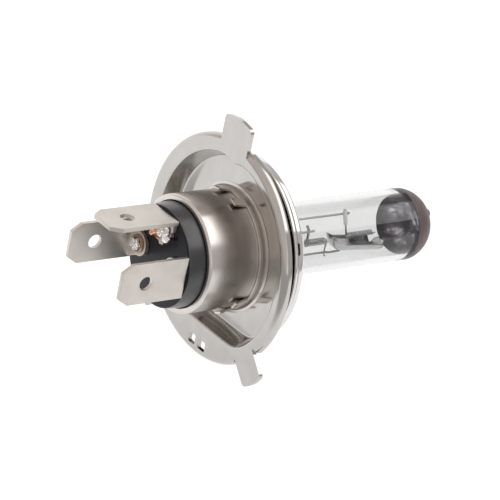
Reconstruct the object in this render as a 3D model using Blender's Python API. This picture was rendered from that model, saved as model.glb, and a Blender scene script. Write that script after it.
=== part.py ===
"""Two-filament headlight bulb with a three-lug flange, as separate closed solids.

Frame: +Y runs forward along the bulb's axis towards the glass, +Z is up with the wide
lug at twelve o'clock, +X is to the right when looking forward.  The origin is the
centre of the flange's rear face.  Sizes below are millimetres and angles are degrees.
"""
import math

import bmesh
import bpy
from mathutils import Matrix, Vector

MM = 0.001
GAP = 0.3                     # clearance between pieces that touch in the real bulb
SEGMENTS = 48                 # sides of a full turned piece
FLANGE_POINTS = 72            # points around each loop of the pressed flange
DOME_STEPS = 7
SMOOTH_ANGLE = 32.0

# ---- flange ring and lugs ----
SHEET = 0.8                   # pressed sheet of the flange
RING_RADIUS = 21.5
RING_BEND = 0.6               # outer bend radius between the ring's face and its skirt
SKIRT_DEPTH = 1.8             # how far the skirt is turned forward
LUG_LENGTH = 4.7              # how far the lugs stand out from the ring
LUG_CORNER = 0.9
WIDE_LUG_WIDTH = 8.0
NARROW_LUG_WIDTH = 5.9
WIDE_LUG_ANGLE = 90.0
NARROW_LUG_ANGLES = (-45.0, 225.0)
LUG_RELIEF = 0.45             # notch beside each lug
PUNCH_HEIGHT = 1.9
PUNCHES = ((-0.85, 1.95), (2.25, 2.15))   # centre x and width of the two punched windows
PUNCH_Z = -18.95

# ---- dish pressed into the flange ----
DISH_RADIUS = 18.5
DISH_SHIFT_X = 0.6            # the dish is set off the ring's centre when the bulb is focused
DISH_FLOOR_BELOW = 4.0        # from the shell down to the straight wall at the bottom of the dish
DISH_DEPTH = 3.6
DISH_LEAN = 1.3               # how far the dish wall leans in from lip to floor
DISH_HOLE_CLEARANCE = 0.4
DISH_CORNER_POWER = 24.0      # higher is a tighter corner where chord and round wall meet

# ---- base shell, insulator ----
SHELL_RADIUS = 11.0
SHELL_WALL = 0.5
SHELL_REAR = -8.6
SHELL_ROLL = 1.1              # how far the rear mouth is rolled in
SHELL_FRONT = 3.3
INSULATOR_REAR = -12.2
INSULATOR_TAPER = 0.4         # how much narrower its rear face is than the mouth
INSULATOR_FRONT = -4.6
INSULATOR_EDGE = 0.35

# ---- crimp ring at the foot of the shell ----
CRIMP_WALL = 0.4
CRIMP_CLEARANCE = 0.12
CRIMP_EDGE = 2.3              # rear edge of the ring on the shell
CRIMP_FLARE = 1.18            # how far the foot flares out from the ring
TONGUE_REACH = -0.5           # how far back the crimp tongues reach
TONGUE_WIDTH = 1.9
TONGUE_OFFSET = 13.5          # each lug has two tongues at this angle either side
TONGUE_TURN = -3.5            # how far each pair is turned from its lug

# ---- collar in front of the flange ----
COLLAR_WALL = 0.7
COLLAR_EDGE_RADIUS = 18.6
COLLAR_BAND_RADIUS = 17.9
COLLAR_SHOULDER_RADIUS = 16.2
COLLAR_SHOULDER = 7.65
COLLAR_FRONT = 8.6
COLLAR_SLOT_LENGTH = 3.8
COLLAR_SLOT_WIDTH = 1.4
COLLAR_SLOT_Y = 6.25
COLLAR_SLOT_ANGLES = (22.0, 142.0, 262.0)

# ---- sleeve that holds the glass ----
SLEEVE_WALL = 0.6
SLEEVE_FRONT = 12.3
SLEEVE_FLANGE = 2.1           # how far its flange overlaps the flange's hole

# ---- glass ----
TUBE_RADIUS = 7.0
TUBE_WALL = 1.1
TUBE_REAR = 10.6
DOME_START = 43.4
DOME_HEIGHT = 6.2
COAT_THICKNESS = 0.25
COAT_GAP = 0.12
PIP_RADIUS = 1.0
PIP_HEIGHT = 50.9
PIP_RISE = 1.5
SEAL_REAR = 0.4
SEAL_WIDTH = 13.2
SEAL_THICKNESS = 4.4
SEAL_FRONT = 14.0
SEAL_SHOULDER = 9.6           # where the flat seal widens into the tube
FOIL_WIDTH = 2.2
FOIL_THICKNESS = 0.12
FOIL_CHANNEL = 0.7            # open channel through the seal for a foil and its pins

# ---- contact blades ----
BLADE_WIDTH = 8.0
BLADE_THICKNESS = 0.8
BLADE_TIP = -26.2
BLADE_SPACING = 8.45          # from the axis to the middle of a blade's thickness
BLADE_CHAMFER_LONG = 2.1
BLADE_CHAMFER_SHORT = 1.4
BLADE_HOLE_RADIUS = 1.35
BLADE_HOLE_Y = -20.8
FOOT_EYE_RADIUS = 2.3
EYELET_SPACING = 5.4          # from the axis to the middle of each eyelet
EYELET_RADIUS = 1.15
EYELET_BORE = 0.8
EYELET_HEAD_RADIUS = 1.75
EYELET_HEAD = 0.35
SOLDER_RADIUS = 1.35
SOLDER_HEIGHT = 1.0
WIRE_RADIUS = 0.42

# ---- inside the glass: stations along the axis are set out for a hollow this long ----
BURNER_LENGTH = 29.4
LEAD_RADIUS = 0.28
HOOK_RADIUS = 0.22
POST_GAP = 0.8                # from the end of the upper lead to its post
UPPER_POST_RISE = 0.9         # how far the post stands above the upper lead
CENTRE_POST_RISE = 1.2
UPPER_LEAD = (-1.2, 3.7)      # x and z of the lead to the dipped-beam filament
LOWER_LEAD = (0.3, -3.9)      # x and z of the common lead
CENTRE_LEAD = (0.6, 1.3)      # x and z of the lead to the main-beam filament
UPPER_POST_Y = 29.1
CENTRE_POST_Y = 20.2
HOOK_Y = 26.3
FILAMENT_WIRE = 0.13
COIL_POINTS = 10
MAIN_COIL = (21.0, 25.6, 0.62, 7)         # rear, front, coil radius, turns
DIPPED_COIL = (30.3, 37.2, 0.50, 10)
MAIN_AXIS = (0.0, -1.1)
DIPPED_AXIS = (0.3, -0.1)
SLEEVE_BEAD_RADIUS = 0.5
SLEEVE_BEAD_LENGTH = 2.6
SLEEVE_BEAD_START = 0.7
SLEEVE_BEAD_CLEARANCE = 0.1
SHIELD_RADIUS = 2.95
SHIELD_WALL = 0.25
SHIELD_AXIS_Z = -1.45
SHIELD_REAR = 27.2
SHIELD_FRONT = 39.2
SHIELD_NOSE = 2.2             # length of the rounded rear end
TONGUE_LENGTH = 3.2
SHIELD_TONGUE_WIDTH = 2.6

# ---- what follows from the sizes above ----
LUG_REACH = RING_RADIUS + LUG_LENGTH
DISH_CHORD = SHELL_RADIUS + DISH_FLOOR_BELOW
DISH_HOLE = SHELL_RADIUS + DISH_HOLE_CLEARANCE
FLOOR_FRONT = DISH_DEPTH + SHEET
SHELL_MOUTH = SHELL_RADIUS - SHELL_ROLL
INSULATOR_REAR_RADIUS = SHELL_MOUTH - INSULATOR_TAPER
CRIMP_FOOT_RADIUS = SHELL_RADIUS + CRIMP_CLEARANCE + CRIMP_WALL + CRIMP_FLARE
SLEEVE_REAR = FLOOR_FRONT + GAP
SLEEVE_FLANGE_RADIUS = DISH_HOLE + SLEEVE_FLANGE
COLLAR_REAR = FLOOR_FRONT + GAP
TUBE_INNER = TUBE_RADIUS - TUBE_WALL
FOOT_FRONT = INSULATOR_REAR - GAP
FOOT_REAR = FOOT_FRONT - BLADE_THICKNESS

for old in list(bpy.data.objects):
    bpy.data.objects.remove(old, do_unlink=True)


def material(name, colour, roughness, metallic, transmission=0.0):
    mat = bpy.data.materials.new(name)
    mat.use_nodes = True
    shader = mat.node_tree.nodes["Principled BSDF"]
    shader.inputs["Base Color"].default_value = (*colour, 1.0)
    shader.inputs["Roughness"].default_value = roughness
    shader.inputs["Metallic"].default_value = metallic
    shader.inputs["Transmission Weight"].default_value = transmission
    mat.diffuse_color = (*colour, 1.0)
    return mat


NICKEL = material("nickel_plate", (0.66, 0.64, 0.62), 0.25, 1.0)
STEEL = material("bright_steel", (0.75, 0.75, 0.76), 0.15, 1.0)
BLADE_TIN = material("blade_tin", (0.70, 0.67, 0.63), 0.45, 0.6)
INSULATOR_BLACK = material("insulator_black", (0.02, 0.02, 0.025), 0.35, 0.0)
EYELET_BRASS = material("eyelet_brass", (0.35, 0.25, 0.20), 0.4, 1.0)
SOLDER = material("solder", (0.80, 0.80, 0.80), 0.2, 1.0)
COPPER = material("copper_wire", (0.75, 0.42, 0.26), 0.3, 1.0)
QUARTZ = material("quartz_glass", (0.95, 0.97, 0.96), 0.02, 0.0, 1.0)
COATING = material("tip_coating", (0.10, 0.075, 0.07), 0.4, 0.0)
TUNGSTEN = material("tungsten", (0.35, 0.35, 0.36), 0.3, 1.0)
MOLYBDENUM = material("molybdenum", (0.62, 0.62, 0.62), 0.25, 1.0)
BEAD = material("bead_glass", (0.85, 0.87, 0.86), 0.15, 0.0)


def link(name, mesh, mat):
    mesh.materials.append(mat)
    item = bpy.data.objects.new(name, mesh)
    bpy.context.scene.collection.objects.link(item)
    return item


def solid(name, bm, mat, smooth=True):
    """Turn a closed bmesh, drawn in millimetres, into a named object in metres."""
    bmesh.ops.scale(bm, vec=(MM, MM, MM), verts=bm.verts)
    bmesh.ops.recalc_face_normals(bm, faces=bm.faces)
    mesh = bpy.data.meshes.new(name)
    bm.to_mesh(mesh)
    bm.free()
    if smooth:
        mesh.shade_smooth()
        mesh.set_sharp_from_angle(angle=math.radians(SMOOTH_ANGLE))
    return link(name, mesh, mat)


def turned(name, profile, mat, segments=SEGMENTS, turn=360.0):
    """Turn a closed outline of (radius, y) points about the Y axis."""
    bm = bmesh.new()
    verts = [bm.verts.new((r, y, 0.0)) for r, y in profile]
    pairs = list(zip(verts, verts[1:] + verts[:1]))
    geometry = verts + [bm.edges.new(pair) for pair in pairs]
    if turn < 360.0:
        geometry.append(bm.faces.new(verts))
    bmesh.ops.spin(bm, geom=geometry, cent=(0, 0, 0), axis=(0, 1, 0),
                   angle=math.radians(turn), steps=segments)
    bmesh.ops.remove_doubles(bm, verts=bm.verts, dist=1e-4)
    bmesh.ops.dissolve_degenerate(bm, edges=bm.edges, dist=1e-5)
    return solid(name, bm, mat)


def loft(name, loops, mat):
    """Bridge a closed ring of loops that all have the same number of points."""
    bm = bmesh.new()
    rows = [[bm.verts.new(p) for p in loop] for loop in loops]
    count = len(rows[0])
    for row, after in zip(rows, rows[1:] + rows[:1]):
        for i in range(count):
            j = (i + 1) % count
            bm.faces.new((row[i], row[j], after[j], after[i]))
    return solid(name, bm, mat)


def extruded(name, outline, thickness, mat, place=Matrix.Identity(4), smooth=False):
    """Extrude an (x, z) outline from y = 0 to y = thickness, then place it."""
    bm = bmesh.new()
    face = bm.faces.new([bm.verts.new((x, 0.0, z)) for x, z in outline])
    pushed = bmesh.ops.extrude_face_region(bm, geom=[face])
    moved = [v for v in pushed["geom"] if isinstance(v, bmesh.types.BMVert)]
    bmesh.ops.translate(bm, vec=(0.0, thickness, 0.0), verts=moved)
    bmesh.ops.transform(bm, matrix=place, verts=bm.verts)
    return solid(name, bm, mat, smooth)


def wire(name, points, radius, mat, sides=2):
    """A round wire with closed ends along a list of points."""
    curve = bpy.data.curves.new(name, "CURVE")
    curve.dimensions = "3D"
    curve.bevel_depth = radius * MM
    curve.bevel_resolution = sides
    curve.use_fill_caps = True
    spline = curve.splines.new("POLY")
    spline.points.add(len(points) - 1)
    for point, place in zip(spline.points, points):
        point.co = (*(Vector(place) * MM), 1.0)
    curve.materials.append(mat)
    item = bpy.data.objects.new(name, curve)
    bpy.context.scene.collection.objects.link(item)
    return item


def smooth_path(corners, steps=6):
    """A Catmull-Rom path through a few chosen corners."""
    ends = [corners[0]] + list(corners) + [corners[-1]]
    spots = [Vector(c) for c in ends]
    path = []
    for a, b, c, d in zip(spots, spots[1:], spots[2:], spots[3:]):
        for k in range(steps):
            t = k / steps
            path.append(0.5 * (2 * b + (c - a) * t + (2 * a - 5 * b + 4 * c - d) * t ** 2
                               + (3 * b - a - 3 * c + d) * t ** 3))
    path.append(spots[-1])
    return path


def combine(target, tool, operation):
    """Boolean the tool into the target and keep the tool out of the build."""
    step = target.modifiers.new(tool.name, "BOOLEAN")
    step.object = tool
    step.operation = operation
    tool.hide_render = True
    tool.display_type = "WIRE"


def about_axis(angle):
    """Rotate about the bulb's axis, from +X towards +Z."""
    return Matrix.Rotation(-math.radians(angle), 4, "Y")


def circle_loop(radius, y, count=FLANGE_POINTS):
    turns = [2 * math.pi * i / count for i in range(count)]
    return [(radius * math.cos(t), y, radius * math.sin(t)) for t in turns]


def dish_loop(inset, y, count=FLANGE_POINTS):
    """The dish's outline: a circle cut by a chord at the bottom, with a rounded corner."""
    radius = DISH_RADIUS - inset
    chord = DISH_CHORD - inset
    loop = []
    for i in range(count):
        t = 2 * math.pi * i / count
        reach = radius
        if math.sin(t) < 0.0:
            straight = chord / -math.sin(t)
            power = DISH_CORNER_POWER
            reach = (radius ** -power + straight ** -power) ** (-1.0 / power)
        loop.append((DISH_SHIFT_X + reach * math.cos(t), y, reach * math.sin(t)))
    return loop


def arc(cx, cz, radius, start, end, steps):
    spots = [math.radians(start + (end - start) * k / steps) for k in range(steps + 1)]
    return [(cx + radius * math.cos(a), cz + radius * math.sin(a)) for a in spots]


def block(name, low, high):
    """A plain cutter between two corners."""
    bm = bmesh.new()
    size = Vector(high) - Vector(low)
    bmesh.ops.create_cube(bm, size=1.0)
    bmesh.ops.scale(bm, vec=size, verts=bm.verts)
    bmesh.ops.translate(bm, vec=Vector(low) + size / 2, verts=bm.verts)
    return solid(name, bm, NICKEL, smooth=False)


def lug_outline(width):
    """A lug pointing along +X, whose tip follows a circle about the axis."""
    half = width / 2
    root = RING_RADIUS - 2 * RING_BEND - 0.5
    swing = math.degrees(math.asin((half - LUG_CORNER) / LUG_REACH))
    tip = arc(0, 0, LUG_REACH, -swing, swing, 6)
    corner_x = math.sqrt(LUG_REACH ** 2 - half ** 2) - LUG_CORNER
    return [(root, -half), (corner_x, -half), *tip, (corner_x, half), (root, half)]


def make_flange():
    t = SHEET
    inner_bend = RING_BEND * 0.3
    wall_top = 0.55
    wall_foot = wall_top + DISH_LEAN * 0.6
    loops = [
        circle_loop(RING_RADIUS, SKIRT_DEPTH),
        circle_loop(RING_RADIUS, RING_BEND),
        circle_loop(RING_RADIUS - inner_bend, inner_bend),
        circle_loop(RING_RADIUS - RING_BEND, 0.0),
        dish_loop(0.0, 0.0),
        dish_loop(wall_top * 0.6, wall_top * 0.25),
        dish_loop(wall_top, wall_top),
        dish_loop(wall_foot, DISH_DEPTH - wall_top),
        dish_loop(wall_foot + 0.15, DISH_DEPTH - 0.15),
        dish_loop(DISH_LEAN + wall_top, DISH_DEPTH),
        circle_loop(DISH_HOLE, DISH_DEPTH),
        circle_loop(DISH_HOLE, DISH_DEPTH + t),
        dish_loop(DISH_LEAN, DISH_DEPTH + t),
        dish_loop(wall_foot - t * 0.6, DISH_DEPTH + t * 0.6),
        dish_loop(wall_foot - t, DISH_DEPTH - wall_top),
        dish_loop(wall_top - t, wall_top + t * 0.6),
        dish_loop(-t * 0.7, t),
        circle_loop(RING_RADIUS - t, t),
        circle_loop(RING_RADIUS - t, SKIRT_DEPTH),
    ]
    flange = loft("flange", loops, NICKEL)
    lugs = [(WIDE_LUG_ANGLE, WIDE_LUG_WIDTH)]
    lugs += [(angle, NARROW_LUG_WIDTH) for angle in NARROW_LUG_ANGLES]
    for index, (angle, width) in enumerate(lugs):
        half = width / 2 + LUG_RELIEF
        notch = block(f"cut_relief_{index}", (RING_RADIUS - 2 * RING_BEND, -1.0, -half),
                      (RING_RADIUS + 2.0, SKIRT_DEPTH + 1.0, half))
        notch.data.transform(about_axis(angle))
        combine(flange, notch, "DIFFERENCE")
        lug = extruded(f"cut_lug_{index}", lug_outline(width), SHEET, NICKEL, about_axis(angle))
        combine(flange, lug, "UNION")
    for index, (x, width) in enumerate(PUNCHES):
        window = block(f"cut_window_{index}",
                       (x - width / 2, -1.0, PUNCH_Z - PUNCH_HEIGHT / 2),
                       (x + width / 2, SHEET + 1.0, PUNCH_Z + PUNCH_HEIGHT / 2))
        combine(flange, window, "DIFFERENCE")


def make_shell():
    inner = SHELL_RADIUS - SHELL_WALL
    roll = SHELL_ROLL
    bends = [math.radians(22.5 * k) for k in range(5)]
    rim = [(SHELL_RADIUS - roll * (1 - math.cos(b)), SHELL_REAR + roll * (1 - math.sin(b)))
           for b in bends]
    profile = [(SHELL_RADIUS, SHELL_FRONT), *rim, (SHELL_MOUTH, SHELL_REAR + SHELL_WALL),
               (inner, SHELL_REAR + roll), (inner, SHELL_FRONT)]
    turned("base_shell", profile, NICKEL)


def make_crimp_ring():
    inner = SHELL_RADIUS + CRIMP_CLEARANCE
    outer = inner + CRIMP_WALL
    foot = DISH_DEPTH - GAP
    profile = [(outer, CRIMP_EDGE), (inner, CRIMP_EDGE), (inner, foot),
               (CRIMP_FOOT_RADIUS, foot), (CRIMP_FOOT_RADIUS - 0.1, foot - 0.25),
               (outer + 0.35, foot - 0.5)]
    ring = turned("crimp_ring", profile, NICKEL)
    index = 0
    for lug_angle in (WIDE_LUG_ANGLE, *NARROW_LUG_ANGLES):
        for side in (-1, 1):
            swing = math.degrees(TONGUE_WIDTH / 2 / inner)
            outline = arc(0, 0, inner, -swing, swing, 4) + arc(0, 0, outer, swing, -swing, 4)
            angle = lug_angle + TONGUE_TURN + side * TONGUE_OFFSET
            place = about_axis(angle) @ Matrix.Translation((0, TONGUE_REACH, 0))
            tongue = extruded(f"cut_tongue_{index}", outline,
                              CRIMP_EDGE + 0.3 - TONGUE_REACH, NICKEL, place)
            combine(ring, tongue, "UNION")
            index += 1


def make_collar():
    wall = COLLAR_WALL
    band_start = COLLAR_REAR + wall
    profile = [
        (COLLAR_EDGE_RADIUS, COLLAR_REAR), (COLLAR_EDGE_RADIUS, band_start),
        (COLLAR_BAND_RADIUS, band_start + 0.15), (COLLAR_BAND_RADIUS, COLLAR_SHOULDER - 1.6),
        (COLLAR_BAND_RADIUS - 0.35, COLLAR_SHOULDER - 0.85),
        (COLLAR_BAND_RADIUS - 0.95, COLLAR_SHOULDER - 0.3),
        (COLLAR_SHOULDER_RADIUS, COLLAR_SHOULDER),
        (TUBE_RADIUS + GAP + SLEEVE_WALL + 1.2, COLLAR_FRONT),
        (TUBE_RADIUS + GAP + SLEEVE_WALL + 0.4, COLLAR_FRONT + 0.1),
        (TUBE_RADIUS + GAP + SLEEVE_WALL + 0.4, COLLAR_FRONT - wall),
        (COLLAR_SHOULDER_RADIUS, COLLAR_SHOULDER - wall),
        (COLLAR_BAND_RADIUS - wall - 0.4, COLLAR_SHOULDER - wall - 0.7),
        (COLLAR_BAND_RADIUS - wall, COLLAR_SHOULDER - wall - 1.6),
        (COLLAR_BAND_RADIUS - wall, COLLAR_REAR),
    ]
    collar = turned("collar", profile, STEEL)
    half = COLLAR_SLOT_LENGTH / 2
    ends = COLLAR_SLOT_WIDTH / 2
    slot = arc(0, half - ends, ends, 0, 180, 6) + arc(0, ends - half, ends, 180, 360, 6)
    outward = Matrix.Rotation(math.radians(-90), 4, "Z")
    start = Matrix.Translation((COLLAR_BAND_RADIUS - 2.0, COLLAR_SLOT_Y, 0))
    for index, angle in enumerate(COLLAR_SLOT_ANGLES):
        tool = extruded(f"cut_slot_{index}", slot, 3.0, STEEL, about_axis(angle) @ start @ outward)
        combine(collar, tool, "DIFFERENCE")


def make_sleeve():
    inner = TUBE_RADIUS + GAP
    outer = inner + SLEEVE_WALL
    profile = [(outer, SLEEVE_FRONT), (outer, SLEEVE_REAR + SLEEVE_WALL + 0.4),
               (outer + 0.4, SLEEVE_REAR + SLEEVE_WALL),
               (SLEEVE_FLANGE_RADIUS, SLEEVE_REAR + SLEEVE_WALL),
               (SLEEVE_FLANGE_RADIUS, SLEEVE_REAR), (inner, SLEEVE_REAR), (inner, SLEEVE_FRONT)]
    turned("glass_sleeve", profile, STEEL)


def make_glass():
    under = COAT_GAP + COAT_THICKNESS
    quarter = [math.radians(90 * k / DOME_STEPS) for k in range(DOME_STEPS + 1)]
    outer_r = TUBE_RADIUS - under
    dome = [(outer_r * math.cos(a), DOME_START + (DOME_HEIGHT - under) * math.sin(a))
            for a in quarter]
    inner_h = DOME_HEIGHT - under - TUBE_WALL
    hollow = [(TUBE_INNER * math.cos(a), DOME_START + inner_h * math.sin(a))
              for a in reversed(quarter)]
    profile = [(TUBE_INNER, TUBE_REAR), (TUBE_RADIUS, TUBE_REAR),
               (TUBE_RADIUS, DOME_START - 0.2), (outer_r, DOME_START - 0.2), *dome, *hollow]
    turned("glass_envelope", profile, QUARTZ)
    skin_r = TUBE_RADIUS - COAT_THICKNESS
    skin_out = [(TUBE_RADIUS * math.cos(a), DOME_START + DOME_HEIGHT * math.sin(a))
                for a in quarter]
    skin_h = DOME_HEIGHT - COAT_THICKNESS
    skin_in = [(skin_r * math.cos(a), DOME_START + skin_h * math.sin(a))
               for a in reversed(quarter)]
    coat = turned("tip_coating", [*skin_out, *skin_in], COATING)
    slope = math.sqrt(1 - (PIP_RISE / TUBE_RADIUS) ** 2)
    root = DOME_START + DOME_HEIGHT * slope - COAT_THICKNESS * 0.8
    pip_profile = [(0, root), (PIP_RADIUS, root), (PIP_RADIUS, PIP_HEIGHT - 0.6),
                   (PIP_RADIUS * 0.75, PIP_HEIGHT - 0.2), (0, PIP_HEIGHT)]
    pip = turned("cut_pip", pip_profile, COATING, 16)
    pip.location = (0, 0, PIP_RISE * MM)
    combine(coat, pip, "UNION")


def seal_positions():
    return (-SEAL_WIDTH / 3, 0.0, SEAL_WIDTH / 3)


def make_seal():
    plug = TUBE_INNER - GAP
    half = SEAL_WIDTH / 2
    inset = min(plug, half)
    profile = [(0, SEAL_SHOULDER), (inset * 0.55, SEAL_SHOULDER), (plug, TUBE_REAR + 0.3),
               (plug, SEAL_FRONT - 1.2), (plug * 0.85, SEAL_FRONT - 0.2), (0, SEAL_FRONT)]
    seal = turned("pinch_seal", profile, QUARTZ, 48)
    flat = block("cut_seal_flat", (-half, SEAL_REAR, -SEAL_THICKNESS / 2),
                 (half, TUBE_REAR - GAP, SEAL_THICKNESS / 2))
    combine(seal, flat, "UNION")
    for index, x in enumerate(seal_positions()):
        width = FOIL_WIDTH / 2 + GAP
        slot = block(f"cut_foil_channel_{index}", (x - width, SEAL_REAR - 1, -FOIL_CHANNEL / 2),
                     (x + width, TUBE_REAR - 1.6, FOIL_CHANNEL / 2))
        combine(seal, slot, "DIFFERENCE")


def make_foils():
    for name, x in zip(("left", "centre", "right"), seal_positions()):
        rear = SEAL_REAR + 2.0
        outline = [(x - FOIL_WIDTH / 2, -FOIL_THICKNESS / 2), (x + FOIL_WIDTH / 2, -FOIL_THICKNESS / 2),
                   (x + FOIL_WIDTH / 2, FOIL_THICKNESS / 2), (x - FOIL_WIDTH / 2, FOIL_THICKNESS / 2)]
        extruded(f"foil_{name}", outline, TUBE_REAR - 1.6 - GAP - rear, MOLYBDENUM,
                 Matrix.Translation((0, rear, 0)))


def make_insulator():
    mouth = SHELL_MOUTH - 0.2
    inside = SHELL_RADIUS - SHELL_WALL - GAP
    lip = SHELL_REAR + SHELL_ROLL + GAP
    profile = [(0, INSULATOR_FRONT), (inside, INSULATOR_FRONT), (inside, lip), (mouth, lip - 0.3),
               (mouth, SHELL_REAR - 0.3), (INSULATOR_REAR_RADIUS + 0.05, INSULATOR_REAR + INSULATOR_EDGE),
               (INSULATOR_REAR_RADIUS - INSULATOR_EDGE, INSULATOR_REAR), (0, INSULATOR_REAR)]
    insulator = turned("insulator", profile, INSULATOR_BLACK)
    for index, (x, z) in enumerate(eyelet_places().values()):
        hole = turned(f"cut_eyelet_hole_{index}",
                      [(0, INSULATOR_REAR - 1), (EYELET_RADIUS + 0.2, INSULATOR_REAR - 1),
                       (EYELET_RADIUS + 0.2, INSULATOR_FRONT + 1), (0, INSULATOR_FRONT + 1)],
                      INSULATOR_BLACK, 20)
        hole.location = (x * MM, 0, z * MM)
        combine(insulator, hole, "DIFFERENCE")


def blade_turns():
    """Angle about the axis of each blade's own +X side."""
    return {"right": 0.0, "top": 90.0, "left": 180.0}


def eyelet_places():
    turns = {side: math.radians(angle) for side, angle in blade_turns().items()}
    return {side: (EYELET_SPACING * math.cos(t), EYELET_SPACING * math.sin(t))
            for side, t in turns.items()}


def make_blade(side, angle):
    """A flat blade with chamfered tip and hole, and a foot bent in to its eyelet."""
    half = BLADE_WIDTH / 2
    outline = [(FOOT_REAR, -half), (FOOT_REAR, half), (BLADE_TIP + BLADE_CHAMFER_LONG, half),
               (BLADE_TIP, half - BLADE_CHAMFER_SHORT), (BLADE_TIP, BLADE_CHAMFER_SHORT - half),
               (BLADE_TIP + BLADE_CHAMFER_LONG, -half)]
    outer = BLADE_SPACING + BLADE_THICKNESS / 2
    lay = Matrix(((0, 1, 0, outer - BLADE_THICKNESS), (1, 0, 0, 0), (0, 0, 1, 0), (0, 0, 0, 1)))
    blade = extruded(f"blade_{side}", outline, BLADE_THICKNESS, BLADE_TIN, about_axis(angle) @ lay)
    root = half * 0.92
    foot = [(outer, -half), (outer, half), (outer - BLADE_THICKNESS - 0.2, root)]
    foot += arc(EYELET_SPACING, 0, FOOT_EYE_RADIUS, 90, 270, 12)
    foot += [(outer - BLADE_THICKNESS - 0.2, -root)]
    place = about_axis(angle) @ Matrix.Translation((0, FOOT_REAR, 0))
    tool = extruded(f"cut_foot_{side}", foot, BLADE_THICKNESS, BLADE_TIN, place)
    combine(blade, tool, "UNION")
    bore = turned(f"cut_foot_bore_{side}",
                  [(0, FOOT_REAR - 1), (EYELET_RADIUS + 0.2, FOOT_REAR - 1),
                   (EYELET_RADIUS + 0.2, FOOT_FRONT + 1), (0, FOOT_FRONT + 1)], BLADE_TIN, 20)
    x, z = eyelet_places()[side]
    bore.location = (x * MM, 0, z * MM)
    combine(blade, bore, "DIFFERENCE")
    drill = turned(f"cut_drill_{side}", [(0, -2), (BLADE_HOLE_RADIUS, -2), (BLADE_HOLE_RADIUS, 2),
                                         (0, 2)], BLADE_TIN, 24)
    stand = Matrix.Rotation(math.radians(90), 4, "Z")
    spot = Matrix.Translation((BLADE_SPACING * MM, BLADE_HOLE_Y * MM, 0))
    drill.matrix_world = about_axis(angle) @ spot @ stand
    combine(blade, drill, "DIFFERENCE")


def make_joint(side):
    """The eyelet that clamps a blade's foot, the lead inside it and the solder on top."""
    x, z = eyelet_places()[side]
    head = FOOT_REAR - GAP - EYELET_HEAD
    eyelet = turned(f"eyelet_{side}",
                    [(EYELET_BORE, head), (EYELET_BORE, INSULATOR_FRONT + 0.5),
                     (EYELET_RADIUS, INSULATOR_FRONT + 0.5), (EYELET_RADIUS, FOOT_REAR - GAP),
                     (EYELET_HEAD_RADIUS, FOOT_REAR - GAP), (EYELET_HEAD_RADIUS, head + 0.1),
                     (EYELET_HEAD_RADIUS - 0.15, head)], EYELET_BRASS, 24)
    eyelet.location = (x * MM, 0, z * MM)
    base = head - GAP
    rings = [(SOLDER_RADIUS * math.cos(a), base - SOLDER_HEIGHT * math.sin(a))
             for a in (math.radians(90 * k / 6) for k in range(7))]
    blob = turned(f"solder_{side}", [(0, base), *rings[:-1], (0, base - SOLDER_HEIGHT)], SOLDER, 20)
    blob.location = (x * MM, 0, z * MM)


def make_supply_wires():
    """Leads from the pinch seal back to the three eyelets."""
    ends = dict(zip(("left", "top", "right"), seal_positions()))
    for side, x in ends.items():
        ex, ez = eyelet_places()[side]
        start = (ex, FOOT_REAR, ez)
        corners = [start, (ex, INSULATOR_FRONT + 0.6, ez), (ex * 0.9 + x * 0.1, -1.8, ez * 0.75),
                   (x, -0.9, 0.0), (x, SEAL_REAR - GAP, 0.0)]
        path = [Vector(start)] + smooth_path(corners[1:], 5)
        wire(f"supply_wire_{side}", path, WIRE_RADIUS, COPPER)


def station(y):
    """Where a station drawn for the design length sits in the real hollow of the glass."""
    return SEAL_FRONT + (y - SEAL_FRONT) * (DOME_START - SEAL_FRONT) / BURNER_LENGTH


def coil(name, axis, rear, front, radius, turns):
    x, z = axis
    rear, front = station(rear), station(front)
    count = turns * COIL_POINTS
    path = []
    for k in range(count + 1):
        t = 2 * math.pi * k / COIL_POINTS
        y = rear + (front - rear) * k / count
        path.append((x + radius * math.cos(t), y, z + radius * math.sin(t)))
    wire(name, path, FILAMENT_WIRE, TUNGSTEN, 1)


def make_filaments():
    coil("filament_main", MAIN_AXIS, *MAIN_COIL)
    coil("filament_dipped", DIPPED_AXIS, *DIPPED_COIL)


def make_leads():
    start = SEAL_FRONT + GAP
    ux, uz = UPPER_LEAD
    post_y = station(UPPER_POST_Y)
    wire("lead_upper", [(ux, start, uz), (ux, post_y - POST_GAP, uz)], LEAD_RADIUS, MOLYBDENUM)
    dx, dz = DIPPED_AXIS
    top = Vector((ux, post_y, uz + UPPER_POST_RISE))
    foot = Vector((dx + 0.2, post_y, dz))
    wire("post_dipped", [top, foot], LEAD_RADIUS, MOLYBDENUM)
    along = (foot - top).normalized()
    bead_start = top + along * SLEEVE_BEAD_START
    bead_end = bead_start + along * SLEEVE_BEAD_LENGTH
    hollow_rod("post_bead", bead_start, bead_end, SLEEVE_BEAD_RADIUS,
               LEAD_RADIUS + SLEEVE_BEAD_CLEARANCE, BEAD)
    cx, cz = CENTRE_LEAD
    post_y = station(CENTRE_POST_Y)
    wire("lead_centre", [(cx, start, cz), (cx, post_y - 2 * LEAD_RADIUS, cz)], LEAD_RADIUS,
         MOLYBDENUM)
    mx, mz = MAIN_AXIS
    wire("post_main", [(cx - 0.5, post_y, cz + CENTRE_POST_RISE), (mx + 0.5, post_y, mz)],
         LEAD_RADIUS, MOLYBDENUM)
    lx, lz = LOWER_LEAD
    wire("lead_lower", [(lx, start, lz), (lx, station(SHIELD_REAR) - 0.2, lz)], LEAD_RADIUS,
         MOLYBDENUM)
    wire("hook_main", [(mx, station(HOOK_Y), mz), (lx, station(HOOK_Y), lz + LEAD_RADIUS + 0.5)],
         HOOK_RADIUS, MOLYBDENUM)


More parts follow.
